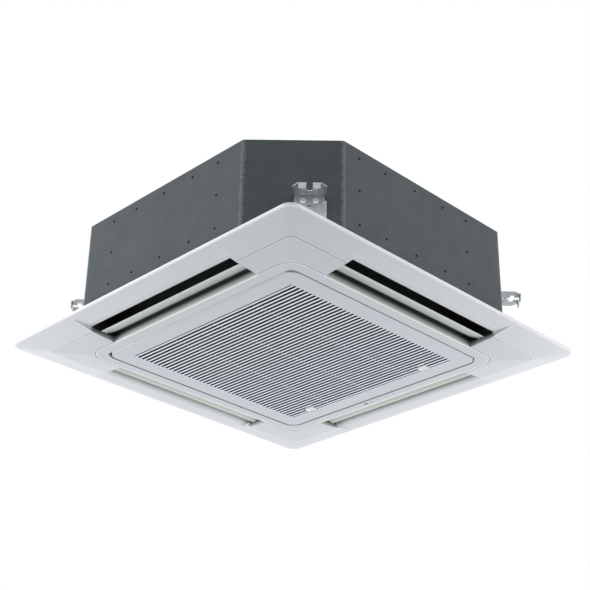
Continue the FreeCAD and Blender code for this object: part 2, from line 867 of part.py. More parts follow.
def intake_grille():
    """The hinged intake grille: a flat border, 44 leaning slats, three cross ribs and a round hinge edge."""
    body = new_body("intake_grille")
    grille_border(body)
    field = sketch(body, "slat_field", "XY_Plane")
    outline(field, rectangle("-field_half", "field_half", "-field_half", "field_half"))
    pocket(body, field)
    slat = sketch(body, "slat", "YZ_Plane")
    foot = "-field_half + (slat_pitch - slat_foot) / 2"
    outline(slat, [
        (foot, "-grille_depth"), (f"{foot} + slat_foot", "-grille_depth"),
        (f"{foot} + slat_lean + slat_head", "slat_height - grille_depth"),
        (f"{foot} + slat_lean", "slat_height - grille_depth"),
    ])
    first_slat = pad(body, slat, "2 * field_half + grille_wall", both=True)
    slats = body.newObject("PartDesign::LinearPattern", "slats")
    slats.Originals = [first_slat]
    along = next(item for item in body.Origin.OriginFeatures if item.Role == "Y_Axis")
    slats.Direction = (along, [""])
    slats.Occurrences = SLAT_COUNT
    bind(slats, "Length", f"slat_pitch * {SLAT_COUNT - 1}")
    body.Tip = slats
    ribs = sketch(body, "cross_ribs", "XY_Plane", "slat_height - grille_depth - cross_rib / 2")
    for place in ("-cross_rib_place", "0", "cross_rib_place"):
        edges = (f"{place} - cross_rib / 2", f"{place} + cross_rib / 2")
        outline(ribs, rectangle(*edges, "-field_half", "field_half"))
    pad(body, ribs, "cross_rib_height")
    windows = sketch(body, "latch_windows", "XY_Plane")
    for place in ("-latch_place", "latch_place"):
        edges = (f"{place} - latch_half - latch_clearance", f"{place} + latch_half + latch_clearance")
        outline(windows, rectangle(
            *edges, "latch_start - latch_travel - latch_clearance", "latch_end + latch_travel",
        ))
    body.Tip = pocket(body, windows)
    return keep(body, "intake_grille")


def grille_border(body):
    """The border plate with its turned-up rim, the round hinge edge and the ways of the latch tongues."""
    plate = sketch(body, "grille_plate", "XY_Plane", "-grille_depth")
    outline(plate, rounded_square("grille_half", "grille_corner"))
    pad(body, plate, "grille_wall")
    rim = sketch(body, "grille_rim", "XY_Plane", "-grille_depth")
    outline(rim, rounded_square("grille_half", "grille_corner"))
    outline(rim, rounded_square("grille_half - grille_wall", "grille_corner - grille_wall"))
    pad(body, rim, "grille_rim")
    bar = sketch(body, "hinge_bar", "XY_Plane", "-grille_depth")
    bar_reach = "hinge_place + grille_corner"
    bar_back = "-(grille_half - 2 * hinge_radius)"
    outline(bar, rectangle(f"-({bar_reach})", bar_reach, "-grille_half", bar_back))
    pad(body, bar, "2 * hinge_radius")
    nose = sketch(body, "hinge_nose", "YZ_Plane")
    outline(nose, [
        (HINGE_ROW, "-grille_depth", "hinge_radius", -1),
        ("-grille_half", "hinge_radius - grille_depth", "hinge_radius", -1),
        (HINGE_ROW, "2 * hinge_radius - grille_depth"),
        ("-grille_half - overrun", "2 * hinge_radius - grille_depth"),
        ("-grille_half - overrun", "-grille_depth"),
    ])
    pocket(body, nose)
    notch = sketch(body, "hinge_notches", "XY_Plane", "grille_wall - grille_depth")
    for place in ("-hinge_place", "hinge_place"):
        edges = (f"{place} - hinge_notch", f"{place} + hinge_notch")
        outline(notch, rectangle(*edges, "-grille_half - overrun", f"{bar_back} + grille_wall"))
    pocket(body, notch, "grille_rim")
    bore = sketch(body, "hinge_bore", "YZ_Plane")
    circle(bore, HINGE_ROW, HINGE_LEVEL, "hinge_pin + hinge_clearance")
    pocket(body, bore, "2 * hinge_place + 2 * hinge_pin_reach", both=True)
    ways = sketch(body, "latch_ways", "XZ_Plane", "-grille_half - overrun")
    for place in ("-latch_place", "latch_place"):
        edges = (f"{place} - latch_slider - latch_clearance", f"{place} + latch_slider + latch_clearance")
        top = f"{LATCH_LEVEL} + latch_slider_height + latch_clearance"
        outline(ways, rectangle(*edges, "grille_wall - grille_depth", top))
    pocket(body, ways, "grille_wall + 2 * overrun")


def grille_latch(name, sign):
    """A thumb slide under the grille with a tongue that runs to the panel's edge."""
    place = f"{sign}latch_place"
    label = "grille_latch_" + name
    thumb = block(
        label + "_thumb",
        (f"{place} - latch_half", "latch_start", "-grille_depth - latch_foot"),
        (f"{place} + latch_half", "latch_end", LATCH_LEVEL),
    )
    tongue = block(
        label + "_tongue",
        (f"{place} - latch_slider", "latch_start", LATCH_LEVEL),
        (f"{place} + latch_slider", "grille_half + grille_gap / 2", f"{LATCH_LEVEL} + latch_slider_height"),
    )
    return keep(fuse(label, thumb, tongue), label)


def hinge_parts():
    """Two lugs under the panel's ledge and the two pins that the grille swings on."""
    lugs = []
    pins = []
    across = Vector(1, 0, 0)
    for name, sign in (("left", "-"), ("right", "")):
        place = f"{sign}hinge_place"
        web = block(
            f"hinge_web_{name}",
            (f"{place} - hinge_lug", f"{HINGE_ROW} - hinge_lug_radius", HINGE_LEVEL),
            (f"{place} + hinge_lug", f"{HINGE_ROW} + hinge_lug_radius", "-ledge_depth"),
        )
        start = (f"{place} - hinge_lug", HINGE_ROW, HINGE_LEVEL)
        eye = round_bar(f"hinge_eye_{name}", "hinge_lug_radius", "2 * hinge_lug", start, across)
        bore = round_bar(f"hinge_bore_{name}", "hinge_pin", "2 * hinge_lug", start, across)
        lugs.append(cut(f"hinge_lug_{name}", fuse(f"hinge_arm_{name}", web, eye), bore))
        start = (f"{place} - hinge_pin_reach", HINGE_ROW, HINGE_LEVEL)
        pins.append(round_bar(f"hinge_pin_{name}", "hinge_pin", "2 * hinge_pin_reach", start, across))
    keep(group("hinge_lugs", lugs), "hinge_lugs")
    keep(group("hinge_pins", pins), "hinge_pins")


def air_filter():
    """A framed filter that lies on the grille's cross ribs, with its mesh in the middle of the frame."""
    level = "slat_height - grille_depth - cross_rib / 2 + cross_rib_height + filter_gap"
    body = new_body("filter_frame")
    rim = sketch(body, "filter_rim", "XY_Plane", level)
    outline(rim, rounded_square("filter_half", "filter_bar"))
    pad(body, rim, "filter_height")
    panes = sketch(body, "filter_panes", "XY_Plane")
    halves = {
        "low": ("-filter_half + filter_bar", "-filter_rib / 2"),
        "high": ("filter_rib / 2", "filter_half - filter_bar"),
    }
    meshes = []
    middle = f"{level} + filter_height / 2"
    for x_name, (left, right) in halves.items():
        for y_name, (front, back) in halves.items():
            outline(panes, rectangle(left, right, front, back))
            meshes.append(block(
                f"mesh_{x_name}_{y_name}",
                (left, front, f"{middle} - filter_mesh / 2"), (right, back, f"{middle} + filter_mesh / 2"),
            ))
    body.Tip = pocket(body, panes)
    keep(body, "filter_frame")
    keep(group("filter_mesh", meshes), "filter_mesh")


def receiver():
    """Receiver window, lamps and button in the panel's border, on one small board."""
    inside = "panel_wall - panel_depth"
    window = block(
        "receiver_block",
        ("receiver_place - receiver_half", "receiver_row - receiver_rise", "-panel_depth"),
        ("receiver_place + receiver_half", "receiver_row + receiver_rise", "-board_level"),
    )
    keep(window, "receiver_window")
    lamps = []
    for lamp in range(LAMP_COUNT):
        start = (f"lamp_place + {lamp} * lamp_pitch", "receiver_row", "-panel_depth")
        lamps.append(round_bar(f"lamp_{lamp}", "lamp_radius", "panel_depth - board_level", start))
    keep(group("indicator_lamps", lamps), "indicator_lamps")
    start = ("button_place", "receiver_row", "-panel_depth - button_proud")
    length = "panel_depth + button_proud - board_level - button_travel - lens_clearance"
    keep(round_bar("button_stem", "button_radius", length, start), "emergency_button")
    plate = block(
        "board_plate",
        ("-board_reach", "receiver_row - board_half", "-board_level"),
        ("board_reach", "receiver_row + board_half", "board_wall - board_level"),
    )
    posts = []
    for name, sign in (("left", "-"), ("right", "")):
        start = (f"{sign}(board_reach - 2 * board_post)", "receiver_row", inside)
        posts.append(round_bar(f"board_post_{name}", "board_post", f"-board_level - ({inside})", start))
    keep(fuse("board", plate, *posts), "receiver_board")


def casing_wrap():
    """The folded steel side wall, an octagon with turned-in flanges at the bottom and the top."""
    body = new_body("casing_wrap")
    outer = outline(sketch(body, "wrap_outer", "XY_Plane", "casing_bottom"), casing_octagon("0"))
    solid = pad(body, outer, "casing_top - sheet_wall - casing_bottom")
    fold_edges(body, solid, "fold_radius")
    hollow = sketch(body, "wrap_inner", "XY_Plane", "casing_bottom + sheet_wall")
    outline(hollow, casing_octagon("sheet_wall"))
    pocket(body, hollow, "casing_top - 3 * sheet_wall - casing_bottom")
    floor = sketch(body, "bottom_opening", "XY_Plane", "casing_bottom - overrun")
    outline(floor, octagon("flange_half", "flange_corner"))
    pocket(body, floor, "2 * overrun")
    roof = sketch(body, "top_opening", "XY_Plane", "casing_top + overrun")
    outline(roof, casing_octagon("top_flange"))
    pocket(body, roof, "2 * overrun", down=True)
    bolts = sketch(body, "flange_bore", "XY_Plane", "casing_bottom - overrun")
    circle(bolts, "bolt_place", "bolt_place", "bolt_shank + bolt_gap")
    bolt_cut = pocket(body, bolts, "2 * overrun")
    around(body, "flange_bores", [bolt_cut], len(CORNERS))
    pipes = sketch(body, "pipe_holes", "XZ_Plane", "-casing_half - overrun")
    circle(pipes, "-header_place", "gas_level", "gas_pipe + pipe_hole_gap")
    circle(pipes, "-liquid_place", "liquid_level", "liquid_pipe + pipe_hole_gap")
    pocket(body, pipes, "2 * overrun", down=False)
    drain = sketch(body, "drain_hole", "YZ_Plane", "-casing_half - overrun")
    circle(drain, "pump_row", "drain_level", "hose_radius + pipe_hole_gap")
    body.Tip = pocket(body, drain, "2 * overrun")
    return keep(body, "casing_wrap")


def casing_lid():
    """The steel top plate, stiffened with a pressed ring and four radial beads."""
    body = new_body("casing_lid")
    plate = outline(sketch(body, "lid_plate", "XY_Plane", "casing_top - sheet_wall"), casing_octagon("0"))
    solid = pad(body, plate, "sheet_wall")
    fold_edges(body, solid, "fold_radius")
    ring = circle(sketch(body, "lid_ring", "XY_Plane", "casing_top"), "0", "0", "bracket_rim + bead_width")
    circle(ring, "0", "0", "bracket_rim")
    pad(body, ring, "bead_height")
    bead = sketch(body, "lid_bead", "XY_Plane", "casing_top")
    outline(bead, [
        ("bracket_rim + bead_width / 2", "-bead_width / 2"),
        ("bead_radius", "-bead_width / 2", "bead_width / 2", 1),
        ("bead_radius + bead_width / 2", "0", "bead_width / 2", 1),
        ("bead_radius", "bead_width / 2"),
        ("bracket_rim + bead_width / 2", "bead_width / 2"),
    ])
    bead_pad = pad(body, bead, "bead_height")
    around(body, "lid_beads", [bead_pad], len(SIDES))
    return keep(body, "casing_lid")


def casing_rivets():
    """Twelve foam rivets on each long face: a top row, a bottom row and one at each end between them."""
    shapes = []
    middle = "(rivet_low + rivet_high) / 2"
    places = [(share, level) for share in RIVET_SHARES for level in ("rivet_low", "rivet_high")]
    places += [(RIVET_SHARES[0], middle), (RIVET_SHARES[-1], middle)]
    shifts = {"right": "rivet_right_shift", "front": "rivet_front_shift"}
    for name, angle in SIDES.items():
        rivets = []
        for index, (share, level) in enumerate(places):
            start = ("casing_half", f"{shifts.get(name, '0')} + {share} * rivet_reach", level)
            rivets.append(
                round_bar(f"rivet_{name}_{index}", "rivet_radius", "rivet_height", start, Vector(1, 0, 0))
            )
        face = group(f"rivets_{name}", rivets)
        face.Placement = Placement(Vector(), Rotation(Vector(0, 0, 1), angle))
        shapes.append(face)
    return keep(group("casing_rivets", shapes), "casing_rivets")


LINER_INSET = "sheet_wall + fit_gap + liner_wall"


def insulation_liner():
    """The foam cup inside the casing, open below, with a hole for the motor bracket and the pipe holes."""
    body = new_body("insulation_liner")
    low = "casing_bottom + sheet_wall"
    outer = outline(sketch(body, "liner_outer", "XY_Plane", low), casing_octagon("sheet_wall + fit_gap"))
    pad(body, outer, "casing_top - 3 * sheet_wall - casing_bottom")
    inner = outline(sketch(body, "liner_inner", "XY_Plane", low), casing_octagon(LINER_INSET))
    pocket(body, inner, "casing_top - 3 * sheet_wall - casing_bottom - liner_wall")
    hole = circle(sketch(body, "liner_hole", "XY_Plane"), "0", "0", "liner_hole")
    pocket(body, hole)
    pipes = sketch(body, "liner_pipes", "XZ_Plane", "-casing_half")
    circle(pipes, "-header_place", "gas_level", "gas_pipe + pipe_hole_gap")
    circle(pipes, "-liquid_place", "liquid_level", "liquid_pipe + pipe_hole_gap")
    pocket(body, pipes, f"{LINER_INSET} + overrun")
    drain = sketch(body, "liner_drain", "YZ_Plane", "-casing_half")
    circle(drain, "pump_row", "drain_level", "hose_radius + pipe_hole_gap")
    body.Tip = pocket(body, drain, f"{LINER_INSET} + overrun")
    return keep(body, "insulation_liner")


def drain_pan():
    """The foam drain pan: a trough under the coil, a sump, four outlet windows and the bell mouth's seat."""
    body = new_body("drain_pan")
    foot = sketch(body, "pan_foot", "XY_Plane", "casing_bottom")
    outline(foot, octagon("flange_half - fit_gap", "flange_corner"))
    pad(body, foot, "sheet_wall")
    slab = sketch(body, "pan_slab", "XY_Plane", "casing_bottom + sheet_wall")
    outline(slab, casing_octagon(f"{LINER_INSET} + fit_gap"))
    pad(body, slab, "pan_top - casing_bottom - sheet_wall")
    trough = sketch(body, "trough", "XY_Plane", "pan_top")
    outline(trough, rounded_square("trough_outer", "trough_corner + trough_outer - trough_inner"))
    outline(trough, rounded_square("trough_inner", "trough_corner"))
    pocket(body, trough, "pan_top - trough_floor", down=True)
    sump = circle(sketch(body, "sump", "XY_Plane", "pan_top"), "-pump_place", "pump_row", "sump_radius")
    pocket(body, sump, "pan_top - sump_floor", down=True)
    seat = sketch(body, "mouth_seat", "XY_Plane", "casing_bottom - overrun")
    outline(seat, rounded_square("pan_recess_half", "pan_recess_corner"))
    pocket(body, seat, "pan_recess_top - casing_bottom + overrun")
    hole = outline(sketch(body, "pan_hole", "XY_Plane"), rounded_square("pan_hole_half", "pan_hole_corner"))
    pocket(body, hole)
    window = sketch(body, "outlet_window", "XY_Plane")
    outline(window, rectangle("window_inner", "window_outer", "-window_reach", "window_reach"))
    around(body, "outlet_windows", [pocket(body, window)], len(SIDES))
    return keep(body, "drain_pan")


def panel_seals():
    """Foam seals between panel and pan: a frame round each outlet and a ring round the intake."""
    shapes = []
    for name, angle in SIDES.items():
        body = new_body("outlet_seal_" + name)
        frame = sketch(body, "outlet_seal", "XY_Plane", "-seal_step")
        outline(frame, rectangle("seal_inner", "seal_outer", "-seal_reach", "seal_reach"))
        outline(frame, rectangle("border_half", "lip_half", "-outlet_reach", "outlet_reach"))
        body.Tip = pad(body, frame, "casing_bottom + seal_step")
        body.Placement = Placement(Vector(), Rotation(Vector(0, 0, 1), angle))
        shapes.append(body)
    body = new_body("intake_seal")
    ring = sketch(body, "intake_ring", "XY_Plane", "-seal_step")
    outline(ring, rounded_square("grille_half + grille_gap + seal_width", "grille_corner"))
    outline(ring, rounded_square("grille_half + grille_gap", "grille_corner"))
    body.Tip = pad(body, ring, "casing_bottom + seal_step")
    return keep(group("panel_seals", shapes + [body]), "panel_seals")


def heat_exchanger():
    """The fin block, bent round three corners, with an end plate and return bends at both ends."""
    body = new_body("coil_fins")
    ring = sketch(body, "coil_ring", "XY_Plane", "coil_bottom")
    outline(ring, rounded_square("coil_outer", "coil_corner + coil_outer - coil_inner"))
    outline(ring, rounded_square("coil_inner", "coil_corner"))
    pad(body, ring, "coil_top - coil_bottom")
    gap = sketch(body, "coil_gap", "XY_Plane")
    outline(gap, rectangle("-coil_outer - overrun", "-coil_end", "coil_end", "coil_outer + overrun"))
    body.Tip = pocket(body, gap)
    keep(body, "coil_fins")
    near = "coil_inner - plate_margin"
    far = "coil_outer + plate_margin"
    edge = "coil_end + plate_wall"
    back = block("end_plate_back", (f"-({edge})", near, "trough_floor"), ("-coil_end", far, "coil_top"))
    corners = (f"-({far})", "coil_end", "trough_floor"), (f"-({near})", edge, "coil_top")
    left = block("end_plate_left", *corners)
    keep(group("end_plates", [back, left]), "coil_end_plates")
    bends = []
    for index in range(BEND_COUNT):
        level = f"bend_start + {index} * bend_pitch"
        for name, row in (("inner", "coil_inner + bend_inset"), ("outer", "coil_outer - bend_inset")):
            bends.append(return_bend(f"bend_back_{name}_{index}", (f"-({edge})", row, level), 180))
            bends.append(return_bend(f"bend_left_{name}_{index}", (f"-({row})", edge, level), 90))
    keep(group("return_bends", bends), "return_bends")


def return_bend(name, place, angle):
    """A half-round copper bend between two tube ends, one above the other."""
    made = doc.addObject("Part::Torus", name)
    bind(made, "Radius1", "bend_radius")
    bind(made, "Radius2", "bend_tube")
    made.Angle3 = 180
    made.Placement.Rotation = Rotation(Vector(0, 0, 1), angle) * Rotation(Vector(1, 0, 0), 90)
    made.Placement.Rotation = made.Placement.Rotation * Rotation(Vector(0, 0, 1), -90)
    for letter, words in zip("xyz", place):
        bind(made, f"Placement.Base.{letter}", words)
    return made


def refrigerant_lines():
    """Gas header and liquid distributor, their pipes through the casing and the flare nuts."""
    back = Vector(0, 1, 0)
    header = round_bar(
        "gas_header", "header_radius", "header_top - header_bottom",
        ("-header_place", "header_row", "header_bottom"),
    )
    start = ("-header_place", "header_row", "gas_level")
    gas = round_bar("gas_tube", "gas_pipe", "pipe_end - header_row", start, back)
    keep(fuse("gas_joined", header, gas), "gas_line")
    distributor = round_bar(
        "distributor", "distributor_radius", "distributor_height",
        ("-liquid_place", "liquid_row", "liquid_level - distributor_height / 2"),
    )
    start = ("-liquid_place", "liquid_row", "liquid_level")
    liquid = round_bar("liquid_tube", "liquid_pipe", "pipe_end - liquid_row", start, back)
    keep(fuse("liquid_joined", distributor, liquid), "liquid_line")
    nuts = []
    for name, place, level, pipe, nut in (
        ("gas", "header_place", "gas_level", "gas_pipe", "gas_nut"),
        ("liquid", "liquid_place", "liquid_level", "liquid_pipe", "liquid_nut"),
    ):
        start = (f"-{place}", "pipe_end - nut_length", level)
        body = hex_bar(f"{name}_nut_body", nut, "nut_length - pipe_proud", start, back)
        bore = round_bar(f"{name}_nut_bore", pipe, "nut_length", start, back)
        nuts.append(cut(f"{name}_flare_nut", body, bore))
    keep(group("flare_nuts", nuts), "flare_nuts")


def drain_parts():
    """The drain pump in its sump, the hose to the outlet spigot, and the float switch."""
    column = ("-pump_place", "pump_row")
    motor = round_bar("pump_motor", "pump_radius", "pump_top - pump_bottom", (*column, "pump_bottom"))
    suction = round_bar("pump_suction", "suction_radius", "pump_bottom - sump_floor", (*column, "sump_floor"))
    keep(fuse("pump_joined", motor, suction), "drain_pump")
    left = Vector(-1, 0, 0)
    start = ("-pump_place - pump_radius", "pump_row", "drain_level")
    length = "casing_half - pump_place - pump_radius"
    hose = round_bar("hose_outer", "hose_radius", length, start, left)
    bore = round_bar("hose_bore", "hose_radius - hose_wall", length, start, left)
    keep(cut("hose_tube", hose, bore), "drain_hose")
    wall = ("-casing_half", "pump_row", "drain_level")
    pipe = round_bar("spigot_pipe", "spigot_radius", "spigot_length", wall, left)
    flange = round_bar("spigot_plate", "spigot_flange", "spigot_flange_wall", wall, left)
    bore = round_bar("spigot_hole", "spigot_bore", "spigot_length", wall, left)
    keep(cut("spigot", fuse("spigot_solid", pipe, flange), bore), "drain_spigot")
    place = ("-float_place", "float_row")
    top = "float_start + float_height + float_travel + stem_clearance"
    stem = round_bar("stem", "stem_radius", f"{top} - trough_floor", (*place, "trough_floor"))
    head = round_bar("stem_cap", "stem_head", "stem_head_height", (*place, top))
    keep(fuse("stem_joined", stem, head), "float_stem")
    ring = round_bar("float_ring", "float_radius", "float_height", (*place, "float_start"))
    bore = round_bar("float_bore", "stem_radius + stem_clearance", "float_height", (*place, "float_start"))
    keep(cut("float_body", ring, bore), "drain_float")


def bell_mouth():
    """The intake bell mouth: a square plate with a rolled inlet and a short throat into the fan."""
    body = new_body("bell_mouth")
    plate = sketch(body, "mouth_plate", "XY_Plane", "mouth_bottom")
    outline(plate, rounded_square("mouth_half", "pan_recess_corner"))
    circle(plate, "0", "0", "mouth_throat + mouth_round")
    pad(body, plate, "mouth_wall")
    roll = sketch(body, "mouth_roll", "XZ_Plane")
    outline(roll, [
        ("mouth_throat", "mouth_top"),
        ("mouth_throat", "mouth_bottom + mouth_round", "mouth_round", 1),
        ("mouth_throat + mouth_round", "mouth_bottom"),
        ("mouth_throat + mouth_round", "mouth_bottom + mouth_wall", "mouth_round - mouth_wall", -1),
        ("mouth_throat + mouth_wall", "mouth_bottom + mouth_round"),
        ("mouth_throat + mouth_wall", "mouth_top"),
    ])
    body.Tip = turned(body, "Revolution", roll)
    return keep(body, "bell_mouth")


def turbo_fan():
    """The turbo fan: a domed hub over the motor, seven backward-curved blades and a flared inlet ring."""
    body = new_body("turbo_fan")
    hub = sketch(body, "hub", "XZ_Plane")
    bore = "shaft_radius + shaft_clearance"
    outline(hub, [
        ("fan_radius", "hub_level"),
        ("dome_radius", "hub_level", "dome_round", -1),
        ("dome_foot", "dome_level"),
        ("boss_radius", "dome_level"),
        ("boss_radius", "boss_bottom"),
        (bore, "boss_bottom"),
        (bore, "dome_level + hub_wall"),
        ("dome_foot - hub_wall", "dome_level + hub_wall", "dome_round - hub_wall", 1),
        ("dome_radius - hub_wall", "hub_level + hub_wall"),
        ("fan_radius", "hub_level + hub_wall"),
    ])
    turned(body, "Revolution", hub)
    blade = sketch(body, "blade", "XY_Plane", "hub_level")
    tip = (f"blade_outer * cos({BLADE_SWEEP_ANGLE})", f"-(blade_outer * sin({BLADE_SWEEP_ANGLE}))")
    outline(blade, [
        ("blade_inner", "-blade_thickness / 2", "blade_round", -1),
        tip,
        (f"{tip[0]} + blade_tail", tip[1], "blade_round", 1),
        ("blade_inner", "blade_thickness / 2"),
    ])
    first = pad(body, blade, "hub_level - shroud_bottom", down=True)
    around(body, "blades", [first], BLADE_COUNT)
    below = sketch(body, "blade_feet", "XZ_Plane")
    middle = "shroud_wall / 2"
    outline(below, [
        ("blade_inner - overrun", "shroud_bottom - overrun"),
        ("fan_radius + overrun", "shroud_bottom - overrun"),
        ("fan_radius + overrun", f"shroud_level + {middle}"),
        ("fan_radius", f"shroud_level + {middle}", f"shroud_round + {middle}", 1),
        (f"shroud_inlet - {middle}", f"shroud_neck + {middle}"),
        (f"shroud_inlet - {middle}", "blade_rise"),
        ("blade_inner - overrun", "blade_rise"),
    ])
    turned(body, "Groove", below)
    shroud = sketch(body, "shroud", "XZ_Plane")
    outline(shroud, [
        ("shroud_inlet", "shroud_bottom"),
        ("shroud_inlet", "shroud_neck", "shroud_round", -1),
        ("fan_radius", "shroud_level"),
        ("fan_radius", "shroud_level + shroud_wall", "shroud_round + shroud_wall", 1),
        ("shroud_inlet - shroud_wall", "shroud_neck + shroud_wall"),
        ("shroud_inlet - shroud_wall", "shroud_bottom"),
    ])
    body.Tip = turned(body, "Revolution", shroud)
    keep(body, "turbo_fan")
    shaft = round_bar("shaft_bar", "shaft_radius", "shaft_top - shaft_bottom", ("0", "0", "shaft_bottom"))
    keep(shaft, "motor_shaft")
    start = ("0", "0", "boss_bottom - fan_nut_height")
    nut = hex_bar("fan_nut_body", "fan_nut", "fan_nut_height", start)
    hole = round_bar("fan_nut_hole", "shaft_radius", "fan_nut_height", start)
    keep(cut("fan_nut_cut", nut, hole), "fan_nut")


def fan_motor():
    """The motor can, its rubber mounts and the pressed bracket under the top plate."""
    body = new_body("fan_motor")
    can = sketch(body, "motor_can", "XZ_Plane")
    bore = "shaft_radius + shaft_clearance"
    outline(can, [
        (bore, "motor_bottom - motor_collar_height"),
        ("motor_collar", "motor_bottom - motor_collar_height"),
        ("motor_collar", "motor_bottom"),
        ("motor_radius - motor_round", "motor_bottom", "motor_round", 1),
        ("motor_radius", "motor_bottom + motor_round"),
        ("motor_radius", "motor_top - motor_round", "motor_round", 1),
        ("motor_radius - motor_round", "motor_top"),
        ("0", "motor_top"),
        ("0", "shaft_top + shaft_clearance"),
        (bore, "shaft_top + shaft_clearance"),
    ])
    body.Tip = turned(body, "Revolution", can)
    keep(body, "fan_motor")
    mounts = []
    for name, x, y in (("right", "", "0"), ("left", "-", "0"), ("back", "0", ""), ("front", "0", "-")):
        place = tuple("0" if sign == "0" else f"{sign}grommet_place" for sign in (x, y))
        mounts.append(round_bar(f"grommet_{name}", "grommet_radius", "grommet_height", (*place, "motor_top")))
    keep(group("grommets", mounts), "motor_grommets")
    hat = new_body("motor_bracket")
    press = sketch(hat, "bracket_press", "XZ_Plane")
    low = "motor_top + grommet_height"
    top = "casing_top - sheet_wall"
    outline(press, [
        ("motor_collar", low), ("bracket_plate", low), ("bracket_foot", f"{top} - bracket_wall"),
        ("bracket_rim", f"{top} - bracket_wall"), ("bracket_rim", top), ("bracket_foot - bracket_wall", top),
        ("bracket_plate - bracket_wall", f"{low} + bracket_wall"), ("motor_collar", f"{low} + bracket_wall"),
    ])
    hat.Tip = turned(hat, "Revolution", press)
    keep(hat, "motor_bracket")


def control_box():
    """The sheet-steel control box under the bell mouth plate, with its lid below."""
    corners = ("-box_reach", "-box_back", "box_bottom"), ("box_reach", "-box_front", "mouth_bottom")
    outer = block("box_outer", *corners)
    inner = block(
        "box_inner",
        ("-box_reach + box_wall", "-box_back + box_wall", "box_bottom"),
        ("box_reach - box_wall", "-box_front - box_wall", "mouth_bottom - box_wall"),
    )
    keep(cut("box_shell", outer, inner), "control_box")
    corners = ("-box_reach", "-box_back", "box_bottom - box_wall"), ("box_reach", "-box_front", "box_bottom")
    keep(block("box_cover", *corners), "control_box_lid")


HANGERS = {"back_right": ("", ""), "back_left": ("-", ""), "front_left": ("-", "-"), "front_right": ("", "-")}


def at_hanger(thing, name):
    """Place a piece drawn about a suspension rod at that rod's corner, facing out from the casing."""
    x_sign, y_sign = HANGERS[name]
    thing.Placement.Rotation = Rotation(Vector(0, 0, 1), CORNERS[name] + CORNER_ANGLE)
    bind(thing, "Placement.Base.x", f"{x_sign}rod_x")
    bind(thing, "Placement.Base.y", f"{y_sign}rod_y")


def hanger_bracket(name):
    """A folded hanger bracket: a cross slot with the rod's seat, an open mouth and two turned-down lips."""
    body = new_body("hanger_bracket_" + name)
    arm = sketch(body, "arm", "XY_Plane", "hanger_level")
    outline(arm, [
        ("-hanger_back", "-hanger_half"), ("hanger_arm - hanger_taper", "-hanger_half"),
        ("hanger_arm", "-hanger_nose"), ("hanger_arm", "-hanger_slot"), ("hanger_throat", "-hanger_slot"),
        ("hanger_throat", "-hanger_hole_half"), ("0", "-hanger_hole_half"),
        ("0", "-hanger_slot", "hanger_slot", -1), ("-hanger_slot", "0", "hanger_slot", -1),
        ("0", "hanger_slot"), ("0", "hanger_hole_half"), ("hanger_throat", "hanger_hole_half"),
        ("hanger_throat", "hanger_slot"), ("hanger_arm", "hanger_slot"),
        ("hanger_arm", "hanger_nose"), ("hanger_arm - hanger_taper", "hanger_half"),
        ("-hanger_back", "hanger_half"),
    ])
    pad(body, arm, "hanger_wall")
    lips = sketch(body, "lips", "XY_Plane", "hanger_level")
    for sign in ("", "-"):
        edges = (f"{sign}hanger_lip_inner", f"{sign}hanger_lip_outer")
        outline(lips, rectangle("hanger_arm - hanger_wall", "hanger_arm", *edges))
    pad(body, lips, "hanger_lip", down=True)
    plate = sketch(body, "plate", "XY_Plane", "hanger_level")
    edges = ("-hanger_plate_half", "hanger_plate_half")
    outline(plate, rectangle("-hanger_back", "hanger_wall - hanger_back", *edges))
    pad(body, plate, "hanger_level - hanger_plate_bottom", down=True)
    strip = sketch(body, "strip", "XY_Plane", "hanger_level - hanger_screw_drop")
    edges = ("hanger_plate_half", "hanger_plate_half + hanger_strip")
    outline(strip, rectangle("-hanger_back", "hanger_wall - hanger_back", *edges))
    pad(body, strip, "hanger_level - hanger_screw_drop - hanger_plate_bottom", down=True)
    edges = ("-hanger_eye_half", "hanger_eye_half")
    upper = sketch(body, "arm_eye", "XY_Plane", "hanger_level")
    back = "-hanger_eye_back - hanger_eye_width / 2"
    outline(upper, rectangle(back, f"{back} + hanger_eye_width", *edges))
    pocket(body, upper, "2 * overrun", both=True)
    lower = sketch(body, "plate_eye", "YZ_Plane", "-hanger_back")
    level = "hanger_level - hanger_eye_drop - hanger_eye_width / 2"
    outline(lower, rectangle(*edges, level, f"{level} + hanger_eye_width"))
    body.Tip = pocket(body, lower, "2 * overrun", both=True)
    at_hanger(keep(body, "hanger_bracket_" + name), name)


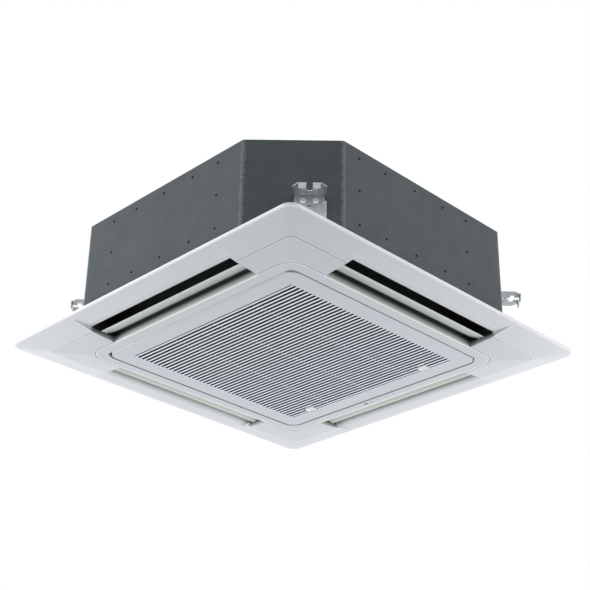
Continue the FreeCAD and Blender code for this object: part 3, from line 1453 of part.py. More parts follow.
def fasteners():
    """Screws of the hanger brackets, bolts of the panel, and the cable gland."""
    pairs = []
    for name in HANGERS:
        screws = []
        for sign in ("", "-"):
            level = "hanger_level - hanger_screw_drop"
            start = ("hanger_wall - hanger_back", f"{sign}hanger_screw_place", level)
            label = f"hanger_screw_{name}_{sign or '+'}"
            head = hex_bar(label + "_head", "hanger_screw", "hanger_screw_height", start, Vector(1, 0, 0))
            washer = round_bar(label + "_washer", "washer_radius", "washer_height", start, Vector(1, 0, 0))
            screws.append(fuse(label, head, washer))
        pair = group("hanger_screws_" + name, screws)
        at_hanger(pair, name)
        pairs.append(pair)
    keep(group("hanger_screw_set", pairs), "hanger_screws")
    bolts = []
    for name, (x_sign, y_sign) in HANGERS.items():
        place = (f"{x_sign}bolt_place", f"{y_sign}bolt_place")
        under = "-lug_depth - lug_thickness"
        start = (*place, f"{under} - bolt_head_height")
        head = hex_bar(f"bolt_head_{name}", "bolt_head", "bolt_head_height", start)
        length = f"casing_bottom + sheet_wall - ({under})"
        shank = round_bar(f"bolt_shank_{name}", "bolt_shank", length, (*place, under))
        bolts.append(fuse(f"bolt_{name}", head, shank))
    keep(group("bolts", bolts), "panel_bolts")
    back = Vector(0, 1, 0)
    wall = ("-gland_place", "casing_half", "gland_level")
    nut = hex_bar("gland_hex", "gland_nut", "gland_nut_height", wall, back)
    neck = round_bar("gland_dome", "gland_neck", "gland_nut_height + gland_length", wall, back)
    bore = round_bar("gland_hole", "gland_bore", "gland_nut_height + gland_length", wall, back)
    keep(cut("gland", fuse("gland_solid", nut, neck), bore), "cable_gland")


for side, angle in SIDES.items():
    flap(side, angle)
    swing_motor(side, angle)
for corner, angle in CORNERS.items():
    corner_cover(corner, angle)
panel_frame()
flap_bushes()
intake_grille()
for side, sign in (("left", "-"), ("right", "")):
    grille_latch(side, sign)
hinge_parts()
air_filter()
receiver()
casing_wrap()
casing_lid()
casing_rivets()
insulation_liner()
drain_pan()
panel_seals()
heat_exchanger()
refrigerant_lines()
drain_parts()
bell_mouth()
turbo_fan()
fan_motor()
control_box()
for corner in HANGERS:
    hanger_bracket(corner)
fasteners()

doc.recompute()
for thing in doc.Objects:
    if "Invalid" in thing.State or "Error" in thing.State:
        raise RuntimeError(f"{thing.Label} failed: {thing.State}")
for thing in nodes:
    if thing.Shape.isNull() or not thing.Shape.isValid():
        raise RuntimeError(f"{thing.Label} has no valid shape")
os.makedirs("parts", exist_ok=True)
for thing in nodes:
    thing.Shape.exportStep(f"parts/{thing.Label}.step")
    print(thing.Label, len(thing.Shape.Solids), round(thing.Shape.Volume), thing.Shape.BoundBox)
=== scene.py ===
# %% [markdown]
# A cassette air conditioner hangs in a ceiling: below is a white square panel with a slatted intake
# grille and four air outlets, above is a dark steel casing with hanger brackets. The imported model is
# loaded first, because every finish and every small piece is set on its parts. Blender works in metres,
# while sizes are written here in millimetres, as on a drawing, and multiplied by MM.

# %% Load the frame
import math

import bmesh
import bpy
from mathutils import Matrix, Vector


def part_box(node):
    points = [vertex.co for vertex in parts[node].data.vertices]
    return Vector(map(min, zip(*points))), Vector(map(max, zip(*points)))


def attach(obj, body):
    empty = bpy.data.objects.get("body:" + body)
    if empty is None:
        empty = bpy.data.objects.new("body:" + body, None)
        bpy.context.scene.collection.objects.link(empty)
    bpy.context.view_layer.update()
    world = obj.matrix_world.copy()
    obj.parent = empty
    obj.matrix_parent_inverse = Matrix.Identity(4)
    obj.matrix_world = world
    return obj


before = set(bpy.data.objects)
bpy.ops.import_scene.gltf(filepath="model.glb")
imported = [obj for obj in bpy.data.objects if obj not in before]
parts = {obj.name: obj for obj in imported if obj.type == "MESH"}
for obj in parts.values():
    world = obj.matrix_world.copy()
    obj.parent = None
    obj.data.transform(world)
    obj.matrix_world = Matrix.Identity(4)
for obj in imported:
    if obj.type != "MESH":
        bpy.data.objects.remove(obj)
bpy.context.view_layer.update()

MM = 0.001
print("parts in the frame:", len(parts))

# %% [markdown]
# The photograph looks up from below one corner of the panel. The camera's direction is written as
# two angles and a small roll, its distance and sideways moves come from fitting the panel's corners,
# and the lens follows from the fitted focal length in pixels of a 590 pixel frame.

# %% Camera
CAMERA_AZIMUTH = math.radians(45.63)
CAMERA_ELEVATION = math.radians(-27.36)
CAMERA_ROLL = math.radians(1.06)
CAMERA_DISTANCE = 3098.3 * MM
CAMERA_RIGHT = 6.04 * MM
CAMERA_UP = 125.41 * MM
FOCAL_PIXELS = 1304.9
FRAME_PIXELS = 590
SENSOR_WIDTH = 36.0

back = Vector((
    math.sin(CAMERA_AZIMUTH) * math.cos(CAMERA_ELEVATION),
    -math.cos(CAMERA_AZIMUTH) * math.cos(CAMERA_ELEVATION),
    math.sin(CAMERA_ELEVATION),
))
level = Vector((math.cos(CAMERA_AZIMUTH), math.sin(CAMERA_AZIMUTH), 0))
upright = back.cross(level)
right = math.cos(CAMERA_ROLL) * level + math.sin(CAMERA_ROLL) * upright
up = -math.sin(CAMERA_ROLL) * level + math.cos(CAMERA_ROLL) * upright
turn = Matrix((right, up, back)).transposed().to_4x4()
stand = right * CAMERA_RIGHT + up * CAMERA_UP + back * CAMERA_DISTANCE

camera_data = bpy.data.cameras.new("photo_camera")
camera_data.sensor_width = SENSOR_WIDTH
camera_data.lens = SENSOR_WIDTH * FOCAL_PIXELS / FRAME_PIXELS
camera = bpy.data.objects.new("photo_camera", camera_data)
bpy.context.collection.objects.link(camera)
camera.matrix_world = Matrix.Translation(stand) @ turn
bpy.context.scene.camera = camera
bpy.context.scene.view_settings.view_transform = "Standard"
print("camera at", [round(value, 3) for value in stand], "lens", round(camera_data.lens, 2), "mm")

# %% [markdown]
# Colours are written as the sRGB hex values that a paint chart would show and turned into the linear
# values that shaders use. One small function adds any node: it takes the node's inputs, as numbers,
# colours or the sockets that feed them, and its settings. Every finish below is built with it.

# %% Colours and nodes
def colour(hex_value):
    """An sRGB hex value as linear red, green, blue and alpha, by the curve of the sRGB standard."""
    linear = []
    for at in (1, 3, 5):
        shown = int(hex_value[at:at + 2], 16) / 255
        linear.append(shown / 12.92 if shown <= 0.04045 else ((shown + 0.055) / 1.055) ** 2.4)
    return (*linear, 1.0)


def add_node(tree, kind, inputs=None, **settings):
    """Add a node, set its settings, and give each input a value or the socket that feeds it."""
    made = tree.nodes.new(kind)
    for name, value in settings.items():
        setattr(made, name, value)
    for socket, value in (inputs or {}).items():
        if isinstance(value, bpy.types.NodeSocket):
            tree.links.new(value, made.inputs[socket])
        else:
            made.inputs[socket].default_value = value
    return made


print("white is", colour("#FFFFFF"))

# %% [markdown]
# A finish starts as an empty material with a shader. Its patterns follow Object coordinates, which stay
# with a part when it moves. It has one colour first and then gets coats of others, each through its own
# mask, as a painter works.

# %% Materials
def start_material(name):
    """An empty material with Object coordinates and a shader that is joined to the output."""
    material = bpy.data.materials.new(name)
    material.use_nodes = True
    tree = material.node_tree
    tree.nodes.clear()
    coords = add_node(tree, "ShaderNodeTexCoord").outputs["Object"]
    shader = add_node(tree, "ShaderNodeBsdfPrincipled")
    add_node(tree, "ShaderNodeOutputMaterial", {"Surface": shader.outputs["BSDF"]})
    return material, tree, coords, shader


def coats(tree, tint, *layers):
    """Lay coats of colour over a tint. Each has a mask, from nought to one, and a hex value."""
    for share, hex_value in layers:
        tint = add_node(
            tree, "ShaderNodeMix", {"Factor": share, "A": tint, "B": colour(hex_value)},
            data_type="RGBA",
        ).outputs["Result"]
    return tint


def feed(tree, shader, **sockets):
    """Link sockets to the shader, or set a constant on its own socket."""
    for name, value in sockets.items():
        target = shader.inputs[name.replace("_", " ").title().replace("Ior", "IOR")]
        if isinstance(value, bpy.types.NodeSocket):
            tree.links.new(value, target)
        else:
            target.default_value = value


def dress(names, material):
    """Give CAD parts a finish in place of the plain one they were loaded with."""
    for name in names:
        for slot in parts[name].material_slots:
            slot.material = material


print("parts to dress:", len(parts))

# %% [markdown]
# Most visible parts are injection-moulded plastic with a fine spark-eroded grain. The grain breaks up
# the gloss; on the real part it is under half a millimetre, and it is drawn about ten times coarser here
# so that it shows at all. A very slow noise gives the faint unevenness of a big moulding. All plastics
# share this recipe, and some get more coats of colour on its tint later.

# %% Moulded plastic
PLASTIC_IOR = 1.53
DRIFT_SIZE = 180 * MM
GRAIN_DEPTH = 0.25 * MM
GLOSS_SPREAD = 0.07


def start_plastic(name, light, shade, grain_mm, roughness, strength=0.18):
    """A moulding with slow colour drift and a grain in its bump and gloss, and its tint for coats."""
    material, tree, coords, shader = start_material(name)
    drift = add_node(
        tree, "ShaderNodeTexNoise", {"Vector": coords, "Scale": 1 / DRIFT_SIZE, "Detail": 3.0},
    )
    tint = coats(tree, colour(light), (drift.outputs["Fac"], shade))
    grain = add_node(
        tree, "ShaderNodeTexNoise", {"Vector": coords, "Scale": 1 / (grain_mm * MM), "Detail": 4.0},
    ).outputs["Fac"]
    gloss = add_node(tree, "ShaderNodeMapRange", {
        "Value": grain, "To Min": roughness - GLOSS_SPREAD, "To Max": roughness + GLOSS_SPREAD,
    })
    bump = add_node(
        tree, "ShaderNodeBump", {"Height": grain, "Strength": strength, "Distance": GRAIN_DEPTH},
    )
    feed(
        tree, shader, base_color=tint, roughness=gloss.outputs["Result"], normal=bump.outputs["Normal"],
        ior=PLASTIC_IOR,
    )
    return material, tree, coords, shader, tint


def moulded_plastic(name, light, shade, grain_mm, roughness, specular=0.5):
    """A plain moulding; a lower specular level gives it a dull, dusty face."""
    material, tree, coords, shader, tint = start_plastic(name, light, shade, grain_mm, roughness)
    feed(tree, shader, specular_ior_level=specular)
    return material


print("grain", GRAIN_DEPTH / MM, "mm deep")

# %% [markdown]
# Fan, ducts, catches and other small parts need no more than their own colour, grain and roughness. A
# part that is handled or slides is smoother and gleams; one that sits in dust or heat is dull.

# %% Plain mouldings
# Whites: catches with a soft shine from handling, and waxy bearings that gleam more.
latch_abs = moulded_plastic("moulded_ABS_latch_white", "#F6F8FB", "#EDF0F4", 3.0, 0.42)
dress(["grille_latch_left", "grille_latch_right", "hinge_lugs"], latch_abs)
acetal = moulded_plastic("acetal_bearing_white", "#EEEDE6", "#E4E3DA", 2.0, 0.33)
dress(["flap_bushes", "hinge_pins", "drain_float"], acetal)
# Greys: a dull fan with glass fibres in it, dull ducts, and a button with a satin face.
fan_plastic = moulded_plastic("glass_filled_ABS_fan_grey", "#4B4E50", "#3E4143", 3.0, 0.5)
dress(["turbo_fan"], fan_plastic)
duct_plastic = moulded_plastic("polypropylene_duct_grey", "#8E9193", "#7F8284", 3.0, 0.5)
dress(["bell_mouth", "drain_spigot", "float_stem"], duct_plastic)
button_plastic = moulded_plastic("ABS_button_grey", "#C3C7CC", "#B5BAC0", 2.0, 0.4)
dress(["emergency_button"], button_plastic)
# Darks: satin pump and gland, a matt filter frame, dusty rivets and rubber that hardly shines.
pump_plastic = moulded_plastic("polypropylene_pump_black", "#1E2022", "#16181A", 2.5, 0.42)
dress(["drain_pump"], pump_plastic)
gland_nylon = moulded_plastic("nylon_gland_black", "#232527", "#1A1C1E", 2.0, 0.4)
dress(["cable_gland"], gland_nylon)
filter_plastic = moulded_plastic("polypropylene_filter_dark", "#43484B", "#383D40", 3.0, 0.55)
dress(["filter_frame"], filter_plastic)
rivet_nylon = moulded_plastic("nylon_rivet_black", "#101214", "#0B0D0E", 2.0, 0.6, specular=0.1)
dress(["casing_rivets"], rivet_nylon)
rubber = moulded_plastic("vulcanised_rubber_black", "#1A1A1B", "#131314", 3.0, 0.72)
dress(["motor_grommets", "drain_hose"], rubber)
print("smoothest:", acetal.name, "dullest:", rubber.name)

# %% [markdown]
# The panel, its corner covers, the flaps and the grille are white ABS too, but their look depends on
# the place: edges carry painted highlights, and seams, outlets and slats carry painted shade.
# The panel is square and the same on four sides, so two values say where a point lies: how far out it
# is, the larger of |X| and |Y|, and how far along its side, the smaller of the two. Height is Z, and
# the skew Y - X is above zero on the left and back sides.

# %% Places on the panel
def panel_place(tree, coords):
    """Where a point lies on the square panel, as five named values in metres."""
    axes = add_node(tree, "ShaderNodeSeparateXYZ", {"Vector": coords}).outputs
    x = add_node(tree, "ShaderNodeMath", {0: axes["X"]}, operation="ABSOLUTE").outputs["Value"]
    y = add_node(tree, "ShaderNodeMath", {0: axes["Y"]}, operation="ABSOLUTE").outputs["Value"]
    out = add_node(tree, "ShaderNodeMath", {0: x, 1: y}, operation="MAXIMUM").outputs["Value"]
    along = add_node(tree, "ShaderNodeMath", {0: x, 1: y}, operation="MINIMUM").outputs["Value"]
    skew = add_node(
        tree, "ShaderNodeMath", {0: axes["Y"], 1: axes["X"]}, operation="SUBTRACT",
    ).outputs["Value"]
    return {"x": x, "out": out, "along": along, "height": axes["Z"], "skew": skew}


def ring(tree, place, half_mm, corner_mm):
    """How far a point lies outside a square with rounded corners; inside it is below zero."""
    legs = {}
    for axis, way in (("X", "out"), ("Y", "along")):
        past = add_node(
            tree, "ShaderNodeMath", {0: place[way], 1: (half_mm - corner_mm) * MM}, operation="SUBTRACT",
        ).outputs["Value"]
        legs[axis] = add_node(
            tree, "ShaderNodeMath", {0: past, 1: 0.0}, operation="MAXIMUM",
        ).outputs["Value"]
    leg = add_node(tree, "ShaderNodeCombineXYZ", legs).outputs["Vector"]
    reach = add_node(tree, "ShaderNodeVectorMath", {0: leg}, operation="LENGTH").outputs["Value"]
    return add_node(
        tree, "ShaderNodeMath", {0: reach, 1: corner_mm * MM}, operation="SUBTRACT",
    ).outputs["Value"]


print("places are measured from the middle of the panel")

# %% [markdown]
# A mask says where a coat of colour lies. It comes from limits, such as "beyond 342 mm out", and holds
# where all of them do, so their ramps are multiplied. A span gives the place where a ramp is empty and
# the place where it is full, in millimetres, and it may run either way. A line has two limits.

# %% Masks
def mask(tree, *limits, most=1.0):
    """Where all limits hold. A limit is a mask, or a place value with its span from empty to full."""
    made = None
    for limit in limits:
        if isinstance(limit, tuple):
            value, (empty_mm, full_mm) = limit
            limit = add_node(tree, "ShaderNodeMapRange", {
                "Value": value, "From Min": empty_mm * MM, "From Max": full_mm * MM, "To Max": most,
            }).outputs["Result"]
            # Only the first ramp stops at the most. The others run to one.
            most = 1.0
        if made:
            limit = add_node(
                tree, "ShaderNodeMath", {0: made, 1: limit}, operation="MULTIPLY",
            ).outputs["Value"]
        made = limit
    return made


def line(value, span, soft=0.2):
    """The two limits of a line between two places, softened on each side by so many millimetres."""
    start_mm, end_mm = span
    return (value, (start_mm - soft, start_mm + soft)), (value, (end_mm + soft, end_mm - soft))


print("a line from 1 to 2 mm has the spans", [span for value, span in line(None, (1.0, 2.0))])

# %% [markdown]
# The panel's white ABS has a coarser grain than the small mouldings, so it looks silky. Its rim is
# polished and has a clear gloss, and it is painted whiter as a painted highlight. The border round the
# grille is a shade darker.

# %% Panel: rim and border
WHITE_GRAIN, WHITE_ROUGHNESS, WHITE_STRENGTH = 4.0, 0.46, 0.16
RIM_GLOSS = 0.12
BORDER_HALF, BORDER_CORNER = 342.0, 45.0
RIM_LEVEL = (-7.0, -6.2)
BORDER_SPAN = (BORDER_HALF + 1.0, BORDER_HALF - 1.0)


def start_white(name, light, shade):
    """The silky white moulding, with where each of its points lies on the panel."""
    material, tree, coords, shader, tint = start_plastic(
        name, light, shade, WHITE_GRAIN, WHITE_ROUGHNESS, WHITE_STRENGTH,
    )
    return material, tree, shader, tint, panel_place(tree, coords)


panel_abs, tree, shader, tint, place = start_white("moulded_ABS_panel_white", "#E0E3E8", "#D8DBE1")
out, along, height = place["out"], place["along"], place["height"]
rim = mask(tree, (height, RIM_LEVEL))
border = mask(tree, (out, BORDER_SPAN))
# The rim's whiter tint is a painted highlight; the clear coat over it is real gloss.
tint = coats(tree, tint, (rim, "#F8FAFE"), (border, "#D3D6DD"))
feed(tree, shader, coat_weight=rim, coat_roughness=RIM_GLOSS)
print("panel: rim above", RIM_LEVEL[1], "mm, border within", BORDER_HALF, "mm")

# %% [markdown]
# Air leaves through four long outlets, one along each side. Outside each, the lip falls away and is
# darkened with painted shade, with a thin line of painted shade where its curve starts. Towards the
# border the outlet's edge carries a painted highlight. Inside it, the wall gets painted shade:
# green-grey low down, turning nearly black with height.

# %% Panel: outlets
HIGHLIGHT_WHITE = "#FBFCFD"
OUTLET_IN, OUTLET_OUT, OUTLET_REACH = 342.0, 405.0, 242.0
OUTLET_LENGTH = (OUTLET_REACH + 0.7, OUTLET_REACH + 0.5)
OUTLET_FROM, OUTLET_TO = (OUTLET_IN - 0.4, OUTLET_IN - 0.2), (OUTLET_OUT + 0.6, OUTLET_OUT + 0.4)
LIP_FROM, LIP_TO = (OUTLET_OUT - 1.0, OUTLET_OUT), (OUTLET_OUT + 9.0, OUTLET_OUT + 2.0)
LIP_LINE = (OUTLET_OUT + 15.5, OUTLET_OUT + 17.1)
EDGE_FROM, EDGE_TO = (OUTLET_IN - 4.4, OUTLET_IN - 3.4), (OUTLET_IN + 0.3, OUTLET_IN + 0.1)
EDGE_LEVEL = (-24.5, -25.5)
RECESS_LEVEL = (-25.5, -21.5)
THROAT_LEVEL = (-21.0, -9.0)

beside = mask(tree, (along, OUTLET_LENGTH))
# Painted shade on the lip's curve, and a thin line of painted shade where the curve starts.
lip_painted_shade = mask(tree, beside, (out, LIP_FROM), (out, LIP_TO), most=0.6)
lip_shade_line = mask(tree, beside, *line(out, LIP_LINE, soft=0.3), most=0.4)
# A painted highlight on the outlet's edge beside the border.
edge_highlight = mask(tree, beside, (out, EDGE_FROM), (out, EDGE_TO), (height, EDGE_LEVEL))
inside = mask(tree, beside, (out, OUTLET_FROM), (out, OUTLET_TO))
# Painted shade on the outlet's inner wall: green-grey low down, nearly black higher up.
recess_painted_shade = mask(tree, inside, (height, RECESS_LEVEL), most=0.7)
throat_painted_shade = mask(tree, inside, (height, THROAT_LEVEL))
tint = coats(
    tree, tint, (lip_painted_shade, "#66746C"), (lip_shade_line, "#77807C"), (edge_highlight, HIGHLIGHT_WHITE), (recess_painted_shade, "#A3B8A9"),
    (throat_painted_shade, "#121B16"),
)
print("panel: outlets", OUTLET_OUT - OUTLET_IN, "by", 2 * OUTLET_REACH, "mm")

# %% [markdown]
# The corner covers are clipped in, with hairline seams that are thinner than a pixel. So the seams are
# drawn: a grey line at the crease, where the skin starts to slope, and a painted highlight on the
# border's edge. A light line of painted highlight also runs from each outlet's end out towards the rim.

# %% Panel: lines at the corner covers
LINE_GREY = "#6E747B"
CREASE_HALF, CREASE_CORNER = 404.0, 16.0
CORNER_SPAN = (OUTLET_REACH + 2.0, OUTLET_REACH + 3.0)
CREASE_LINE = (-0.2, 0.8)
BRINK_LIGHT = (-3.2, -0.6)
JOINT_WIDTH = (OUTLET_REACH + 0.8, OUTLET_REACH + 3.0)
JOINT_RUN = (CREASE_HALF, 466.0)

corner = mask(tree, (along, CORNER_SPAN))
crease = ring(tree, place, CREASE_HALF, CREASE_CORNER)
crease_line = mask(tree, corner, *line(crease, CREASE_LINE), most=0.4)
brink = ring(tree, place, BORDER_HALF, BORDER_CORNER)
# Painted highlights: on the border's edge at the covers, and along each cover's joint.
brink_highlight = mask(tree, corner, *line(brink, BRINK_LIGHT))
joint_highlight = mask(tree, *line(along, JOINT_WIDTH), *line(out, JOINT_RUN), most=0.6)
tint = coats(tree, tint, (crease_line, LINE_GREY), (brink_highlight, HIGHLIGHT_WHITE), (joint_highlight, "#F8FAFF"))
print("panel: crease drawn", CREASE_HALF, "mm and brink", BORDER_HALF, "mm from the middle")

# %% [markdown]
# Round the grille runs a narrow gap. Its shade is painted as a dark line on the left and back sides,
# which fades out round the corners towards the front and right sides. The line of painted shade is
# drawn on the seat in the gap and on the edge of the border beside it.

# %% Panel: seam round the grille
SEAM_PAINTED_SHADE = "#1C1D21"
GRILLE_HALF, GRILLE_CORNER = 310.0, 28.0
SHADED_SIDES = (8.0, 24.0)
SEAT_FROM, SEAT_TO = (GRILLE_HALF - 1.0, GRILLE_HALF), (GRILLE_HALF + 7.0, GRILLE_HALF + 5.0)
SEAT_LEVEL = (-25.9, -25.2)
GAP_FROM, GAP_TO = (-1.0, 0.0), (5.0, 4.6)

# Painted shade in the gap round the grille, on the left and back sides only.
shaded_sides = mask(tree, (place["skew"], SHADED_SIDES))
seat_painted_shade = mask(tree, shaded_sides, (out, SEAT_FROM), (out, SEAT_TO), (height, SEAT_LEVEL))
gap = ring(tree, place, GRILLE_HALF, GRILLE_CORNER)
gap_painted_shade = mask(tree, shaded_sides, (gap, GAP_FROM), (gap, GAP_TO))
tint = coats(tree, tint, (seat_painted_shade, "#2C2E33"), (gap_painted_shade, SEAM_PAINTED_SHADE))
feed(tree, shader, base_color=tint)
dress(["panel_frame"], panel_abs)
print("panel finish:", len(tree.nodes), "nodes")

# %% [markdown]
# The corner covers are moulded apart from the panel, a shade darker. Their side of the seams is drawn
# here: at the crease a painted highlight on the edge and a grey line, and a darker line where they meet
# the border.

# %% Corner covers
COVER_LIGHT = (-4.2, -2.2)
COVER_CREASE = (-1.8, 0.0)
COVER_BRINK = (0.0, 1.8)

cover_abs, tree, shader, tint, place = start_white("moulded_ABS_cover_white", "#DADDE3", "#D2D6DC")
crease = ring(tree, place, CREASE_HALF, CREASE_CORNER)
# A painted highlight on the cover's edge at the crease.
cover_highlight = mask(tree, *line(crease, COVER_LIGHT), most=0.6)
cover_crease = mask(tree, *line(crease, COVER_CREASE), most=0.4)
brink = ring(tree, place, BORDER_HALF, BORDER_CORNER)
cover_brink = mask(tree, *line(brink, COVER_BRINK), most=0.8)
tint = coats(tree, tint, (cover_highlight, HIGHLIGHT_WHITE), (cover_crease, LINE_GREY), (cover_brink, "#666C73"))
feed(tree, shader, base_color=tint)
dress([name for name in parts if name.startswith("corner_cover")], cover_abs)
print("cover finish:", len(tree.nodes), "nodes")

# %% [markdown]
# The flaps are a paler, greener ABS and stand in the stream of air. The middle of the blade is painted
# lighter, its outer edge carries a painted highlight, and its inner edge is painted shade, nearly as
# dark as the outlet.
# Each flap lies along one side, so how far out a point lies says where it is across the blade.

# %% Flaps
BLADE_MIDDLE = (372.0, 364.0)
BLADE_INNER = (356.0, 351.0)
BLADE_OUTER = (377.0, 383.0)

flap_abs, tree, shader, tint, place = start_white("moulded_ABS_flap_pale", "#CDD7D0", "#C2CDC5")
# Painted light on the middle of the blade, painted shade on its inner edge, a painted highlight on its
# outer edge.
middle = mask(tree, (place["out"], BLADE_MIDDLE), most=0.6)
blade_inner_painted_shade = mask(tree, (place["out"], BLADE_INNER), most=0.8)
blade_outer_painted_highlight = mask(tree, (place["out"], BLADE_OUTER), most=0.5)
tint = coats(tree, tint, (middle, "#E9EFEA"), (blade_inner_painted_shade, "#5C6B61"), (blade_outer_painted_highlight, "#F0F5F1"))
feed(tree, shader, base_color=tint)
dress(["flap_front", "flap_right", "flap_back", "flap_left"], flap_abs)
print("flap finish:", len(tree.nodes), "nodes")

# %% [markdown]
# In the grille only the field of slats is painted dark behind its face, within a quarter of a
# millimetre, as painted shade down between the slats. Three cross ribs stiffen the slats; a mask on |X|
# halves that painted shade where the slats meet a rib, which shows as a light tick in every gap. The
# grille's outer wall gets the same painted shade on the same two sides as the seam beside it.

# %% Grille
GRILLE_FACE = -27.0
FIELD_HALF = 264.0
RIB_PLACE, RIB_HALF = 131.0, 1.8
FIELD_SPAN = (FIELD_HALF + 0.6, FIELD_HALF + 0.2)
WALL_SPAN = (-1.7, -1.3)
RIB_SPAN = (RIB_HALF, RIB_HALF - 0.6)
FACE_DEPTH = (GRILLE_FACE + 0.01, GRILLE_FACE + 0.25)

grille_abs, tree, shader, tint, place = start_white("moulded_ABS_grille_white", "#D6D9E0", "#CED1D9")
field = mask(tree, (place["out"], FIELD_SPAN))
wall = ring(tree, place, GRILLE_HALF, GRILLE_CORNER)
# The same painted shade on the grille's outer wall, in the gap.
gap_painted_shade = mask(tree, (place["skew"], SHADED_SIDES), (wall, WALL_SPAN))
beyond = add_node(
    tree, "ShaderNodeMath", {0: place["x"], 1: RIB_PLACE * MM}, operation="SUBTRACT",
).outputs["Value"]
outer_rib = add_node(tree, "ShaderNodeMath", {0: beyond}, operation="ABSOLUTE").outputs["Value"]
nearest_rib = add_node(
    tree, "ShaderNodeMath", {0: place["x"], 1: outer_rib}, operation="MINIMUM",
).outputs["Value"]
rib = mask(tree, (nearest_rib, RIB_SPAN), most=0.5)
off_ribs = add_node(tree, "ShaderNodeMath", {0: 1.0, 1: rib}, operation="SUBTRACT").outputs["Value"]
# Painted shade down between the slats, halved where they meet a rib.
slat_painted_shade = mask(tree, field, off_ribs, (place["height"], FACE_DEPTH))
tint = coats(tree, tint, (field, "#EBF2FD"), (gap_painted_shade, SEAM_PAINTED_SHADE), (slat_painted_shade, "#090C12"))
feed(tree, shader, base_color=tint)
dress(["intake_grille"], grille_abs)
print("grille ribs at", [-RIB_PLACE, 0, RIB_PLACE], "mm")

# %% [markdown]
# The casing is steel sheet with a dark grey stoved coating. It looks matt and a little cloudy. Such a
# coating has a slight orange-peel skin and a speckle of darker grains; both are drawn coarser than life
# so that they show.

# %% Coated steel
CLOUD_SIZE = 45 * MM
SPECK_SIZE, SPECK_FROM, SPECK_TO, SPECK_MOST = 3.5 * MM, 0.54, 0.7, 0.5
PEEL_SIZE, PEEL_DEPTH = 6 * MM, 0.3 * MM
SMOOTHEST, ROUGHEST = 0.55, 0.7

coated_steel, tree, coords, shader = start_material("stoved_coating_on_steel_dark_grey")
cloud = add_node(
    tree, "ShaderNodeTexNoise", {"Vector": coords, "Scale": 1 / CLOUD_SIZE, "Detail": 6.0},
).outputs["Fac"]
speck = add_node(
    tree, "ShaderNodeTexNoise", {"Vector": coords, "Scale": 1 / SPECK_SIZE, "Detail": 2.0},
).outputs["Fac"]
specks = add_node(tree, "ShaderNodeMapRange", {
    "Value": speck, "From Min": SPECK_FROM, "From Max": SPECK_TO, "To Max": SPECK_MOST,
}).outputs["Result"]
speckled = coats(tree, colour("#474F54"), (cloud, "#3C4347"), (specks, "#353C40"))
peel = add_node(tree, "ShaderNodeTexNoise", {"Vector": coords, "Scale": 1 / PEEL_SIZE, "Detail": 2.0})
bump = add_node(
    tree, "ShaderNodeBump", {"Height": peel.outputs["Fac"], "Strength": 0.25, "Distance": PEEL_DEPTH},
)
gloss = add_node(tree, "ShaderNodeMapRange", {"Value": cloud, "To Min": SMOOTHEST, "To Max": ROUGHEST})
feed(tree, shader, roughness=gloss.outputs["Result"], normal=bump.outputs["Normal"])
print("coating with specks of", SPECK_SIZE / MM, "mm")

# %% [markdown]
# A painted highlight lightens the coating along the casing's eight upright folds. In |X| and |Y| these
# fall together on two places, so the distance to the nearer one, frayed by a noise, is its mask.

# %% Painted highlight on the folds
CASING_HALF, FOLD_PLACE = 420.0 * MM, 268.0 * MM
FRAY_SIZE, FRAY_REACH, FRAY_FROM, FRAY_TO = 9 * MM, 3.0 * MM, 0.3, 0.7
HIGHLIGHT_FULL, HIGHLIGHT_END, HIGHLIGHT_MOST = 2.0 * MM, 7.0 * MM, 0.45
LEVEL_ONLY = (1.0, 1.0, 0.0)

mirrored = add_node(tree, "ShaderNodeVectorMath", {0: coords}, operation="ABSOLUTE").outputs["Vector"]
flat = add_node(
    tree, "ShaderNodeVectorMath", {0: mirrored, 1: LEVEL_ONLY}, operation="MULTIPLY",
).outputs["Vector"]
reaches = {}
for number, fold in enumerate(((CASING_HALF, FOLD_PLACE, 0.0), (FOLD_PLACE, CASING_HALF, 0.0))):
    reach = add_node(tree, "ShaderNodeVectorMath", {0: flat, 1: fold}, operation="DISTANCE")
    reaches[number] = reach.outputs["Value"]
nearest_fold = add_node(tree, "ShaderNodeMath", reaches, operation="MINIMUM").outputs["Value"]
fray = add_node(tree, "ShaderNodeTexNoise", {"Vector": coords, "Scale": 1 / FRAY_SIZE, "Detail": 4.0})
ragged = add_node(tree, "ShaderNodeMapRange", {
    "Value": fray.outputs["Fac"], "From Min": FRAY_FROM, "From Max": FRAY_TO,
    "To Min": -FRAY_REACH, "To Max": FRAY_REACH,
}).outputs["Result"]
frayed_reach = add_node(tree, "ShaderNodeMath", {0: nearest_fold, 1: ragged}, operation="ADD").outputs["Value"]
# The painted highlight along each fold.
highlighted = add_node(tree, "ShaderNodeMapRange", {
    "Value": frayed_reach, "From Min": HIGHLIGHT_FULL, "From Max": HIGHLIGHT_END, "To Min": HIGHLIGHT_MOST, "To Max": 0.0,
}).outputs["Result"]
feed(tree, shader, base_color=coats(tree, speckled, (highlighted, "#8D9497")))
dress(["casing_wrap", "casing_lid"], coated_steel)
print("coating worn within", HIGHLIGHT_END / MM, "mm of each fold")

# %% [markdown]
# Brackets, plates and the box are hot-dip galvanised steel, whose zinc freezes into flat crystals called
# spangle, 5 to 10 mm wide. Each Voronoi cell is one crystal with its own brightness and gloss, so the
# sheet glitters in patches. Screws and small motors are plated bright, with a much finer pattern, and
# the fan motor's die-cast shell has a coarse grey skin that the same recipe gives.

# %% Galvanised and plated steel
HAZE_SIZE, HAZE_DEPTH = 2 * MM, 0.1 * MM
ZINC_METALLIC = 0.85
DARK_SMOOTHER, LIGHT_ROUGHER = 0.08, 0.1


